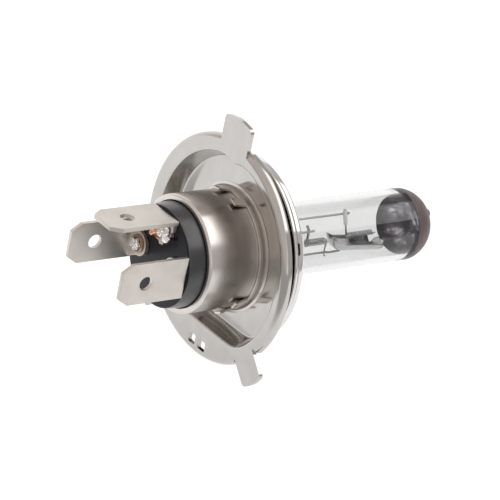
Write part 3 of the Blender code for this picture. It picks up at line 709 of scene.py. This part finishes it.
def make_crimp_ring():
    """Ring around the shell with a flared foot and tongues that spring off at their ends."""
    inner = SHELL_RADIUS + CRIMP_CLEARANCE
    outer = inner + CRIMP_WALL
    foot = DISH_DEPTH - SEATING_GAP
    edge = CRIMP_ROUND
    columns = []
    for i in range(CRIMP_STEPS):
        angle = 360.0 * i / CRIMP_STEPS
        t = radians(angle)
        rear = crimp_edge(angle)
        lift = CRIMP_LIFT * min(1.0, max(0.0, CRIMP_MIDDLE - rear) / 2.0)
        bend = max(rear + 0.4, CRIMP_EDGE - 0.2) + CRIMP_BEND
        section = [(inner, foot), (inner, bend), (inner + lift, rear + edge),
                   (inner + lift + edge, rear), (outer + lift - edge, rear),
                   (outer + lift, rear + edge), (outer + lift * 0.6, rear + 0.35),
                   (outer, bend), (outer + 0.03, foot - 0.5), (outer + 0.25, foot - 0.12),
                   (CRIMP_FOOT_RADIUS, foot)]
        columns.append([(r * cos(t), y, r * sin(t)) for r, y in section])
    rows = list(zip(*columns))
    finish_piece("crimp_sleeve", lofted(rows), SHELL_NICKEL, "nickel_plate", "crimp_ring")


# ---- collar and sleeve ----

def make_collar():
    """Polished ring in front of the flange: edge bead, grooved band with slots, shoulder, neck."""
    wall = COLLAR_WALL
    start = COLLAR_REAR + wall
    neck = TUBE_RADIUS + COLLAR_NECK
    outer = COLLAR_BAND_RADIUS
    groove = outer - COLLAR_GROOVE
    band = outer - 0.05
    inner_shoulder = COLLAR_SHOULDER - wall
    profile = fillet([
        (COLLAR_EDGE_RADIUS, COLLAR_REAR, 0.25), (COLLAR_EDGE_RADIUS, start, 0.25),
        (outer, start + 0.1, 0.1), (outer, COLLAR_GROOVE_Y - 0.25, 0.08),
        (groove, COLLAR_GROOVE_Y - 0.15, 0.08), (groove, COLLAR_GROOVE_Y + 0.15, 0.08),
        (band, COLLAR_GROOVE_Y + 0.3, 0.1), (band, COLLAR_SHOULDER - 0.35, 1.0),
        (COLLAR_SHOULDER_RADIUS, COLLAR_SHOULDER, 1.0), (neck + 1.5, COLLAR_FRONT, 1.0),
        (neck, COLLAR_FRONT, 0.2), (neck, COLLAR_FRONT - wall, 0.2),
        (COLLAR_SHOULDER_RADIUS - 0.3, inner_shoulder, 0.6),
        (outer - wall, inner_shoulder - 0.5, 0.8), (outer - wall, COLLAR_REAR, 0.1)], COLLAR_STEPS)
    half = COLLAR_SLOT_LENGTH / 2
    ends = COLLAR_SLOT_WIDTH / 2
    slot = arc(0, half - ends, ends, 0, 180, 12) + arc(0, ends - half, ends, 180, 360, 12)
    outward = Matrix.Rotation(radians(-90), 4, "Z")
    place = Matrix.Translation((outer - COLLAR_SLOT_INSIDE, COLLAR_SLOT_Y, 0)) @ outward
    tools = [("DIFFERENCE", extruded(slot, 0.0, COLLAR_SLOT_CUT, about_axis(angle) @ place))
             for angle in COLLAR_SLOT_ANGLES]
    collar = finish_piece("collar_ring", combined(turned(profile), tools), STEEL, "bright_steel",
                          "collar")
    add_bevel(collar, 0.12)


def make_sleeve():
    """Thin sleeve around the glass, with a flange at its rear."""
    low, high = span("glass_sleeve")
    inner = TUBE_RADIUS + SLEEVE_FIT
    outer = inner + SLEEVE_WALL
    step = low[1] + SLEEVE_WALL
    profile = fillet([(outer, high[1], 0.2), (outer, step, 0.8), (high[0], step, 0.2),
                      (high[0], low[1], 0.2), (inner, low[1], 0.3), (inner, high[1], 0.2)])
    finish_piece("glass_sleeve_ring", turned(profile), STEEL, "bright_steel", "glass_sleeve")


# ---- glass ----

def dome(radius, height, steps=24):
    """The dome's outline as (radius, y) points, from its rim to its top."""
    quarter = [radians(90 * k / steps) for k in range(steps + 1)]
    return [(radius * cos(a), DOME_START + height * sin(a)) for a in quarter]


def seal_loop(y):
    """The outside of the glass: a flat seal that widens into a round tube."""
    share = smooth_share((y - SEAL_FLARE_START) / (SEAL_FLARE_END - SEAL_FLARE_START))
    power = SEAL_CORNER_POWER
    loop = []
    for t in ROUND_TURNS:
        c = cos(t)
        s = sin(t)
        flat = abs(c / SEAL_HALF_WIDTH) ** power + abs(s / SEAL_HALF_THICKNESS) ** power
        reach = flat ** (-1 / power) * (1 - share) + TUBE_RADIUS * share
        loop.append((reach * c, y, reach * s))
    return loop


def make_glass():
    """One glass body: flat seal at the rear, tube and domed end, hollow from above the seal."""
    flare = SEAL_FLARE_END - SEAL_FLARE_START
    stations = [span("pinch_seal")[0][1], SEAL_FLARE_START - 0.5]
    stations += [SEAL_FLARE_START + flare * k / FLARE_STEPS for k in range(FLARE_STEPS + 1)]
    straight = (SEAL_FLARE_END + 0.2, SEAL_FLARE_END + 0.4, DOME_START - 0.3, DOME_START - 0.05)
    outer = [seal_loop(y) for y in stations]
    outer += [circle_loop(TUBE_RADIUS, y) for y in straight]
    skin = dome(TUBE_RADIUS - COAT_THICKNESS, DOME_HEIGHT - COAT_THICKNESS)
    outer += [circle_loop(r, y) for r, y in skin[:-1]]
    turns = [pi / 2 * k / CAVITY_STEPS for k in range(1, CAVITY_STEPS + 1)]
    cavity = [(TUBE_INNER * sin(a), CAVITY_REAR + CAVITY_BACK * (1 - cos(a)))
              for a in turns]
    cavity += [(TUBE_INNER, CAVITY_REAR + CAVITY_BACK + 0.2), (TUBE_INNER, DOME_START - 0.2)]
    cavity += dome(TUBE_INNER, DOME_HEIGHT - TUBE_WALL)[:-1]
    hollow = lofted([circle_loop(r, y) for r, y in cavity], closed=False, caps=True)
    hollow.flip_normals()
    bm = bmesh.new()
    bm.from_mesh(lofted(outer, closed=False, caps=True))
    bm.from_mesh(hollow)
    whole = bpy.data.meshes.new("glass")
    bm.to_mesh(whole)
    bm.free()
    bulb = finish_piece("glass_bulb", whole, QUARTZ, "quartz_glass", "glass_envelope", "pinch_seal")
    bulb.visible_shadow = False


def make_coating():
    """The dark coat on the dome, with the sealed pip of the exhaust tube."""
    depth = COAT_THICKNESS + COAT_OVERLAP
    skin = dome(TUBE_RADIUS, DOME_HEIGHT, COAT_STEPS)
    inside = dome(TUBE_RADIUS - depth, DOME_HEIGHT - depth, COAT_STEPS)
    coat = turned(skin + inside[::-1])
    slope = sqrt(1 - (PIP_RISE / TUBE_RADIUS) ** 2)
    root = DOME_START + DOME_HEIGHT * slope - COAT_THICKNESS * 0.5
    pip = turned(fillet([(0.0, root, 0.0), (PIP_RADIUS * 1.25, root, 0.0),
                         (PIP_RADIUS, root + 0.5, 0.3), (PIP_RADIUS * 0.9, PIP_TIP, 0.6),
                         (0.0, PIP_TIP, 0.0)]), SMALL_STEPS)
    pip.transform(Matrix.Translation((0.0, 0.0, PIP_RISE)))
    tip = finish_piece("dark_tip", combined(coat, [("UNION", pip)]), COATING, "tip_coating",
                       "tip_coating")
    # inner faces take the dark mirror with painted reflection streaks
    tip.data.materials.append(COATING_INSIDE)
    middle = Vector((0.0, DOME_START, 0.0)) * MM
    for face in tip.data.polygons:
        outward = face.center - middle
        if face.normal.dot(outward) < 0.0:
            face.material_index = 1


# ---- contacts ----

# the top blade's ragged foot, as x and z
TOP_FOOT = ((-3.6, 8.2), (-3.2, 5.9), (-2.3, 4.1), (-1.1, 3.6), (0.2, 3.45), (0.6, 2.95),
            (1.5, 3.2), (1.9, 4.3), (2.6, 4.6), (2.5, 5.3), (3.4, 5.5), (3.2, 6.3), (3.8, 6.7),
            (3.6, 8.2))


def centre_of(node):
    """The middle of a node's box, as x and z."""
    low, high = span(node)
    return (low[0] + high[0]) / 2, (low[2] + high[2]) / 2


def blade_shape(angle):
    """A flat blade with a chamfered tip, and the drill for its hole, turned about the axis."""
    half = BLADE_WIDTH / 2
    shoulder = BLADE_TIP + BLADE_CHAMFER_LONG
    side = half - BLADE_CHAMFER_SHORT
    outline = fillet([(FOOT_FRONT, -half, 0.0), (FOOT_FRONT, half, 0.0),
                      (shoulder, half, BLADE_CORNER), (BLADE_TIP, side, BLADE_CORNER),
                      (BLADE_TIP, -side, BLADE_CORNER), (shoulder, -half, BLADE_CORNER)])
    swap = Matrix(((0, 1, 0, 0), (1, 0, 0, 0), (0, 0, 1, 0), (0, 0, 0, 1)))
    place = about_axis(angle) @ swap
    plate = extruded(outline, BLADE_OUTER - BLADE_THICKNESS, BLADE_OUTER, place)
    hole = arc(BLADE_HOLE_Y, 0, BLADE_HOLE_RADIUS, 0, 360 - 360 / SMALL_STEPS, SMALL_STEPS - 1)
    return plate, extruded(hole, BLADE_OUTER - 3.0, BLADE_OUTER + 1.0, place)


def make_blade(side, angle):
    """A blade and the foot bent from it; the side blades' feet are round around their eyelets."""
    plate, drill = blade_shape(angle)
    if side == "top":
        foot = extruded(TOP_FOOT, FOOT_REAR, FOOT_FRONT)
    else:
        reach = hypot(*centre_of(f"eyelet_{side}"))
        root = BLADE_WIDTH / 2 * FOOT_SHARE
        near = BLADE_OUTER - BLADE_THICKNESS - 0.2
        outline = [(BLADE_OUTER - 0.1, -root), (BLADE_OUTER - 0.1, root), (near, root)]
        outline += arc(reach, 0, FOOT_RADIUS, 90, 270, 24) + [(near, -root)]
        foot = extruded(outline, FOOT_REAR, FOOT_FRONT, about_axis(angle))
    tools = [("UNION", foot), ("DIFFERENCE", drill)]
    blade = finish_piece(f"contact_blade_{side}", combined(plate, tools), BLADE_TIN, "blade_tin",
                         f"blade_{side}")
    add_bevel(blade, 0.1)


def make_eyelet(side):
    """A turned-over rim with a hollow middle."""
    low, high = span(f"eyelet_{side}")
    cx, cz = centre_of(f"eyelet_{side}")
    head = (high[0] - low[0]) / 2
    face = FOOT_REAR
    profile = fillet([(head, face, 0.1), (head, face - 0.3, 0.15), (head * 0.75, face - 0.45, 0.15),
                      (head * 0.55, face - 0.2, 0.2), (head * 0.5, face + 0.6, 0.0),
                      (head * 0.65, face + 0.6, 0.0), (head * 0.65, face, 0.0)])
    ring = turned(profile, SMALL_STEPS)
    ring.transform(Matrix.Translation((cx, 0.0, cz)))
    finish_piece(f"eyelet_ring_{side}", ring, EYELET_BRASS, "eyelet_brass", f"eyelet_{side}")


# middle and half sizes of each bead of solder; y is measured from the blade's foot
SOLDER_BEADS = {
    "top": ((1.3, -0.2, 5.6), (1.9, 0.5, 1.3)),
    "left": ((-5.9, -0.3, -0.2), (1.2, 0.7, 1.25)),
    "right": ((5.5, -0.3, 0.1), (1.3, 0.7, 1.3)),
}
SOLDER_LUMPS = 0.5
SOLDER_FLATTENING = 0.3
SOLDER_SHIFT = Vector((7.3, 3.1, 5.7))  # step between the noises of the beads


def blob(centre, size, seed):
    """A lumpy bead of solder, flattened on its forward side."""
    bm = bmesh.new()
    bmesh.ops.create_icosphere(bm, subdivisions=5, radius=1.0)
    shift = SOLDER_SHIFT * seed
    for v in bm.verts:
        lumps = noise.noise(v.co * 1.6 + shift) + 0.5 * noise.noise(v.co * 4 + shift)
        v.co = v.co * Vector(size) * (1 + SOLDER_LUMPS * lumps)
        if v.co.y > 0:
            v.co.y *= SOLDER_FLATTENING
        v.co += Vector(centre)
    return to_mesh(bm)


def make_solder(side, seed):
    (x, lift, z), size = SOLDER_BEADS[side]
    bead = blob((x, FOOT_REAR + lift, z), size, seed)
    finish_piece(f"solder_bead_{side}", bead, SOLDER, "solder", f"solder_{side}")


def make_supply_wires():
    """Copper leads from the seal through the eyelets; the top one ends in a bent stub."""
    seal_rear = span("pinch_seal")[0][1]
    third = 2 * SEAL_HALF_WIDTH / 3
    for side, x in (("left", -third), ("top", 0.0), ("right", third)):
        ex, ez = centre_of(f"eyelet_{side}")
        stub = [(ex, FOOT_REAR - 0.9, ez)]
        radius = 0.42
        if side == "top":
            stub = [(-1.1, FOOT_REAR - 0.95, 4.35), (-0.8, FOOT_REAR - 0.75, 4.8)]
            radius = 0.5
        corners = [*stub, (ex, FOOT_REAR + 0.6, ez), (ex, INSULATOR_HIGH[1] + 0.6, ez),
                   (ex * 0.9 + x * 0.1, -1.8, ez * 0.75), (x, -0.9, 0.0), (x, seal_rear + 1.0, 0.0)]
        finish_piece(f"copper_lead_{side}", tube(smooth_path(corners), radius, 16), COPPER,
                     "copper_wire", f"supply_wire_{side}")


# ---- inside the glass ----

LEAD_RADIUS = 0.22
POST_RADIUS = 0.17
MAIN_POST_RADIUS = 0.26
HOOK_RADIUS = 0.15
BEAD_RADIUS = 0.40
BEAD_LENGTH = 3.2
UPPER_LEAD = (-1.2, 3.1)  # x and z
LOWER_LEAD = (0.3, -3.95)
CENTRE_LEAD = (0.4, 1.1)
UPPER_POST_Y = 30.4
CENTRE_POST_Y = 21.3
HOOK_Y = 26.3
MAIN_COIL = (21.2, 25.9, 0.52, 9)  # rear, front, radius of the wire's middle, turns
DIPPED_COIL = (30.9, 37.0, 0.38, 15)
MAIN_AXIS = (0.2, -1.35)  # x and z
DIPPED_AXIS = (0.3, -0.75)
MAIN_WIRE = 0.20
DIPPED_WIRE = 0.15
COIL_POINTS = 24  # in each turn
COIL_LEG = 0.5


def coil(axis, rear, front, radius, turns, wire):
    """A coil with a straight leg at each end."""
    x, z = axis
    count = turns * COIL_POINTS
    path = [(x + radius, rear - COIL_LEG, z)]
    for k in range(count + 1):
        t = 2 * pi * k / COIL_POINTS
        y = rear + (front - rear) * k / count
        path.append((x + radius * cos(t), y, z + radius * sin(t)))
    path.append((x + radius, front + COIL_LEG, z))
    return tube(path, wire, 8)


def make_filaments():
    finish_piece("main_filament", coil(MAIN_AXIS, *MAIN_COIL, MAIN_WIRE), TUNGSTEN, "tungsten",
                 "filament_main")
    finish_piece("dipped_filament", coil(DIPPED_AXIS, *DIPPED_COIL, DIPPED_WIRE), TUNGSTEN,
                 "tungsten", "filament_dipped")


def lead(name, corners, node, radius=LEAD_RADIUS):
    finish_piece(name, tube(smooth_path(corners, 6), radius, 14), LEAD_METAL, "molybdenum", node)


def make_leads():
    """Three leads from the seal, the posts and hook that carry the coils, and a milky bead."""
    start = CAVITY_REAR - 2.0
    ux, uz = UPPER_LEAD
    lead("upper_lead", [(ux, start, uz), (ux, UPPER_POST_Y - 0.3, uz), (ux, UPPER_POST_Y + 0.5, uz)],
         "lead_upper")
    dx, dz = DIPPED_AXIS
    top = Vector((ux, UPPER_POST_Y, uz + 1.0))
    foot = Vector((dx, UPPER_POST_Y + 0.4, dz))
    lead("dipped_post", [top, top.lerp(foot, 0.5), foot], "post_dipped", POST_RADIUS)
    down = (foot - top).normalized()
    bead = tube([top + down * 0.1, top + down * BEAD_LENGTH], BEAD_RADIUS, 24)
    finish_piece("insulating_bead", bead, BEAD, "bead_glass", "post_bead")
    cx, cz = CENTRE_LEAD
    y = CENTRE_POST_Y
    lead("centre_lead", [(cx, start, cz), (cx, y, cz), (cx, y + 1.4, cz + 0.1)], "lead_centre")
    mx, mz = MAIN_AXIS
    lead("main_post", [(cx - 0.3, y - 0.5, cz + 1.3), (cx, y, cz), (mx + 0.2, y, mz - 0.7)],
         "post_main", MAIN_POST_RADIUS)
    lx, lz = LOWER_LEAD
    lead("lower_lead", [(lx, start, lz), (lx, 25.6, lz + 0.05), (lx, 27.2, lz - 0.1),
                        (lx, 30.2, lz)], "lead_lower")
    lead("main_hook", [(mx, HOOK_Y - 0.5, mz + 0.4), (mx, HOOK_Y, mz - 0.1),
                       (lx, HOOK_Y - 0.1, lz + 1.2), (lx, HOOK_Y, lz - 0.3),
                       (lx, HOOK_Y + 0.5, lz - 0.9)], "hook_main", HOOK_RADIUS)


# ---- beam shield ----

SHIELD_WALL = 0.16
SHIELD_RADIUS = 2.75
SHIELD_NOSE = 2.6  # length of the rounded rear end
SHIELD_REAR = (27.2, -0.9)  # y and z of the trough's middle line at its rear end
SHIELD_FRONT = (38.6, -1.75)
SHIELD_RIMS = (14.0, 22.0)  # how far the near and far rims stay below half-round, as angles
SHIELD_PLATE_RISE = 1.5  # how far the rear end plate stands above the near rim
SHIELD_COLUMNS = 48
SHIELD_NOSE_STEPS = 14
SHIELD_NOSE_START = 12.0  # angle at which the rounded rear end starts
SHIELD_NOSE_FULLNESS = 0.8  # lower is blunter
SHIELD_BODY_STEPS = 8
STRIP_WIDTH = 2.4
# the strip's y from the trough's front, height above its bottom, and share of STRIP_WIDTH
STRIP = ((-0.3, 0.3, 1.0), (0.8, 1.4, 1.0), (2.2, 2.0, 0.6), (3.4, 1.5, 0.2))


def shield_row(y, z, radius, near, far):
    """One cross-section of the trough, from its near rim on +X down and up to its far rim."""
    turns = [radians(-near - (180.0 - near - far) * k / SHIELD_COLUMNS)
             for k in range(SHIELD_COLUMNS + 1)]
    return [(radius * cos(t), y, z + radius * sin(t)) for t in turns]


def make_shield():
    """Leaning trough open at the top, with a raised round rear end and a narrowing front strip."""
    near, far = SHIELD_RIMS
    rear_y, rear_z = SHIELD_REAR
    front_y, front_z = SHIELD_FRONT
    rows = []
    for k in range(SHIELD_NOSE_STEPS + 1):
        share = 1 - k / SHIELD_NOSE_STEPS
        a = radians(90.0 - (90.0 - SHIELD_NOSE_START) * share)
        y = rear_y + SHIELD_NOSE * (1 - cos(a))
        z = rear_z + SHIELD_PLATE_RISE * share * 0.35
        radius = SHIELD_RADIUS * sin(a) ** SHIELD_NOSE_FULLNESS
        rows.append(shield_row(y, z, radius, near * (1 - share), far * (1 - share)))
    start = rear_y + SHIELD_NOSE
    for k in range(1, SHIELD_BODY_STEPS + 1):
        share = k / SHIELD_BODY_STEPS
        y = start + (front_y - start) * share
        z = rear_z + (front_z - rear_z) * share
        rows.append(shield_row(y, z, SHIELD_RADIUS, near, far))
    low = front_z - SHIELD_RADIUS
    strip = []
    for ahead, rise, share in STRIP:
        half = STRIP_WIDTH / 2 * share
        strip.append([(-half, front_y + ahead, low + rise), (half, front_y + ahead, low + rise)])
    bm = bmesh.new()
    grid = [[bm.verts.new(p) for p in row] for row in rows]
    for row, after in zip(grid, grid[1:]):
        for i in range(SHIELD_COLUMNS):
            bm.faces.new((row[i], row[i + 1], after[i + 1], after[i]))
    corners = [[bm.verts.new(p) for p in pair] for pair in strip]
    for row, after in zip(corners, corners[1:]):
        bm.faces.new((row[0], row[1], after[1], after[0]))
    shield = finish_piece("dipped_shield", to_mesh(bm), MOLYBDENUM, "molybdenum", "beam_shield")
    # the sheet's second side gets the darker molybdenum: painted shade inside the trough
    shield.data.materials.append(MOLYBDENUM_PAINTED_SHADE)
    thick = shield.modifiers.new("thickness", "SOLIDIFY")
    thick.thickness = SHIELD_WALL * MM
    thick.offset = 0.0
    thick.material_offset = 1


def make_foils():
    for node in ("foil_left", "foil_centre", "foil_right"):
        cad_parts[node].data.materials[0] = MOLYBDENUM


# ---- stage, light and camera ----

WHITE = (1.0, 1.0, 1.0)
FLOOR_SIZE = 3000.0
FLOOR_DROP = 0.3  # gap between the lowest point and the floor
FLOOR_GLOW = 0.85
FLOOR_COLOUR = 0.32
FLOOR_FAR_SIDE = (0.81, 0.59, 0.0)  # the floor fades to grey beyond the bulb's front right
FLOOR_FADE = (150.0, 260.0)
FLOOR_FAR_GLOW = (0.1, 0.1, 0.1)
FLOOR_DIM_SIDE = (0.62, -0.78, 0.0)  # reflections of the floor are dim behind the bulb's right
FLOOR_DIM = (18.0, 48.0)
FLOOR_DIM_GLOW = (0.22, 0.198, 0.187)
# The studio's parts are regions of directions, measured from the bulb.
STUDIO = (1.20, 1.195, 1.185)
PANEL = (36.0, 103.0)  # main light: a long panel in front, between these angles about Y
PANEL_COLOUR = (2.5, 2.44, 2.38)
SHADE = (-40.0, 140.0)  # grey cloth around the panel
SHADE_COLOUR = (0.62, 0.59, 0.575)
FORWARD = (0.05, 0.20)  # panel and cloth stand only where directions reach this far forward
PANEL_END = (0.66, 0.80)  # the panel ends where directions reach this far forward
PANEL_EDGE = 0.07
DARK_SIDE = (0.05, -0.80, 0.55)  # direction of the dim side, behind the bulb
DARK_SIDE_ANGLES = (58.0, 88.0)
DARK_SIDE_COLOUR = (0.82, 0.75, 0.71)
FILL = (-0.45, -0.35, 0.82)  # direction of the soft light on matt things
FILL_ANGLES = (10.0, 100.0)
FILL_LOW = (0.40, 0.40, 0.40)
FILL_HIGH = (1.6, 1.6, 1.6)


def along(tree, coordinates, direction):
    """How far a place or a direction reaches along another direction."""
    dot = tree.nodes.new("ShaderNodeVectorMath")
    dot.operation = "DOT_PRODUCT"
    dot.inputs[1].default_value = Vector(direction).normalized()
    place = tree.nodes.new("ShaderNodeTexCoord")
    tree.links.new(place.outputs[coordinates], dot.inputs[0])
    return dot.outputs["Value"]


def ramp_between(tree, value, low, high):
    """Zero at one value, one at the other, eased at both ends."""
    return map_range(tree, value, 0.0, 1.0, low, high, "SMOOTHSTEP")


def product(tree, first, second):
    times = tree.nodes.new("ShaderNodeMath")
    times.operation = "MULTIPLY"
    tree.links.new(first, times.inputs[0])
    tree.links.new(second, times.inputs[1])
    return times.outputs["Value"]


def cone(tree, direction, inner, outer):
    """One within the inner angle of a direction, falling to zero at the outer angle."""
    low = cos(radians(outer))
    high = cos(radians(inner))
    return ramp_between(tree, along(tree, "Generated", direction), low, high)


def sector(tree, start, end):
    """One for directions between two angles about the Y axis, measured from +X towards +Z."""
    a = radians(start)
    b = radians(end)
    above = along(tree, "Generated", (-sin(a), 0.0, cos(a)))
    below = along(tree, "Generated", (sin(b), 0.0, -cos(b)))
    return product(tree, ramp_between(tree, above, 0.0, PANEL_EDGE),
                   ramp_between(tree, below, 0.0, PANEL_EDGE))


def mix_colour(tree, share, first, second):
    """The first colour where the share is zero, the second where it is one."""
    mix = tree.nodes.new("ShaderNodeMix")
    mix.data_type = "RGBA"
    tree.links.new(share, mix.inputs["Factor"])
    for socket, value in ((mix.inputs[6], first), (mix.inputs[7], second)):
        if isinstance(value, tuple):
            socket.default_value = (*value, 1.0)
        else:
            tree.links.new(value, socket)
    return mix.outputs[2]


def make_floor():
    """A pale glowing floor that the camera sees as white and the bulb reflects in three tones."""
    z = CAD_BOX[0][2] / MM - FLOOR_DROP
    bm = bmesh.new()
    bm.faces.new([bm.verts.new((x * FLOOR_SIZE * MM, y * FLOOR_SIZE * MM, z * MM))
                  for x, y in SQUARE])
    mesh = bpy.data.meshes.new("floor")
    bm.to_mesh(mesh)
    bm.free()
    mat, tree, shader = shader_tree("floor_white")
    shader.inputs["Base Color"].default_value = (FLOOR_COLOUR, FLOOR_COLOUR, FLOOR_COLOUR, 1.0)
    shader.inputs["Roughness"].default_value = 0.9
    shader.inputs["Specular IOR Level"].default_value = 0.0
    far = ramp_between(tree, along(tree, "Object", FLOOR_FAR_SIDE), *(d * MM for d in FLOOR_FADE))
    glow = mix_colour(tree, far, WHITE, FLOOR_FAR_GLOW)
    dim = ramp_between(tree, along(tree, "Object", FLOOR_DIM_SIDE), *(d * MM for d in FLOOR_DIM))
    glow = mix_colour(tree, dim, glow, FLOOR_DIM_GLOW)
    path = tree.nodes.new("ShaderNodeLightPath")
    glow = mix_colour(tree, path.outputs["Is Camera Ray"], glow, WHITE)
    tree.links.new(glow, shader.inputs["Emission Color"])
    shader.inputs["Emission Strength"].default_value = FLOOR_GLOW
    mesh.materials.append(mat)
    floor = new_object("floor", mesh)


def make_world():
    """White studio with a bright panel framed by grey cloth in front, and a dim side behind."""
    world = bpy.data.worlds.new("studio")
    bpy.context.scene.world = world
    world.use_nodes = True
    tree = world.node_tree
    forward = ramp_between(tree, along(tree, "Generated", (0.0, 1.0, 0.0)), *FORWARD)
    backward = along(tree, "Generated", (0.0, -1.0, 0.0))
    panel_end = ramp_between(tree, backward, -PANEL_END[1], -PANEL_END[0])
    shade = product(tree, sector(tree, *SHADE), forward)
    panel = product(tree, product(tree, sector(tree, *PANEL), forward), panel_end)
    light = mix_colour(tree, shade, STUDIO, SHADE_COLOUR)
    light = mix_colour(tree, panel, light, PANEL_COLOUR)
    light = mix_colour(tree, cone(tree, DARK_SIDE, *DARK_SIDE_ANGLES), light, DARK_SIDE_COLOUR)
    soft = mix_colour(tree, cone(tree, FILL, *FILL_ANGLES), FILL_LOW, FILL_HIGH)
    path = tree.nodes.new("ShaderNodeLightPath")
    light = mix_colour(tree, path.outputs["Is Diffuse Ray"], light, soft)
    shown = mix_colour(tree, path.outputs["Is Camera Ray"], light, WHITE)
    tree.links.new(shown, tree.nodes["Background"].inputs["Color"])
    bpy.context.scene.view_settings.view_transform = "Standard"


def make_camera():
    az, el, roll = (radians(a) for a in (CAMERA_AZIMUTH, CAMERA_ELEVATION, CAMERA_ROLL))
    forward = Vector((-sin(az) * cos(el), cos(az) * cos(el), -sin(el)))
    level = Vector((cos(az), sin(az), 0.0))
    upward = level.cross(forward)
    right = level * cos(roll) + upward * sin(roll)
    up = right.cross(forward)
    data = bpy.data.cameras.new("camera")
    data.lens = CAMERA_LENS
    data.sensor_width = 36.0
    data.clip_start = 0.01
    camera = new_object("camera", data)
    spot = (Vector(CAMERA_AIM) - forward * CAMERA_DISTANCE) * MM
    turn = Matrix((right, up, -forward)).transposed().to_4x4()
    camera.matrix_world = Matrix.Translation(spot) @ turn
    bpy.context.scene.camera = camera


def build():
    make_camera()
    make_world()
    make_floor()
    make_flange()
    make_shell()
    make_insulator()
    make_crimp_ring()
    make_collar()
    make_sleeve()
    make_glass()
    make_coating()
    for seed, (side, angle) in enumerate(BLADE_TURNS.items()):
        make_blade(side, angle)
        make_eyelet(side)
        make_solder(side, seed + 1)
    make_supply_wires()
    make_filaments()
    make_leads()
    make_shield()
    make_foils()


build()
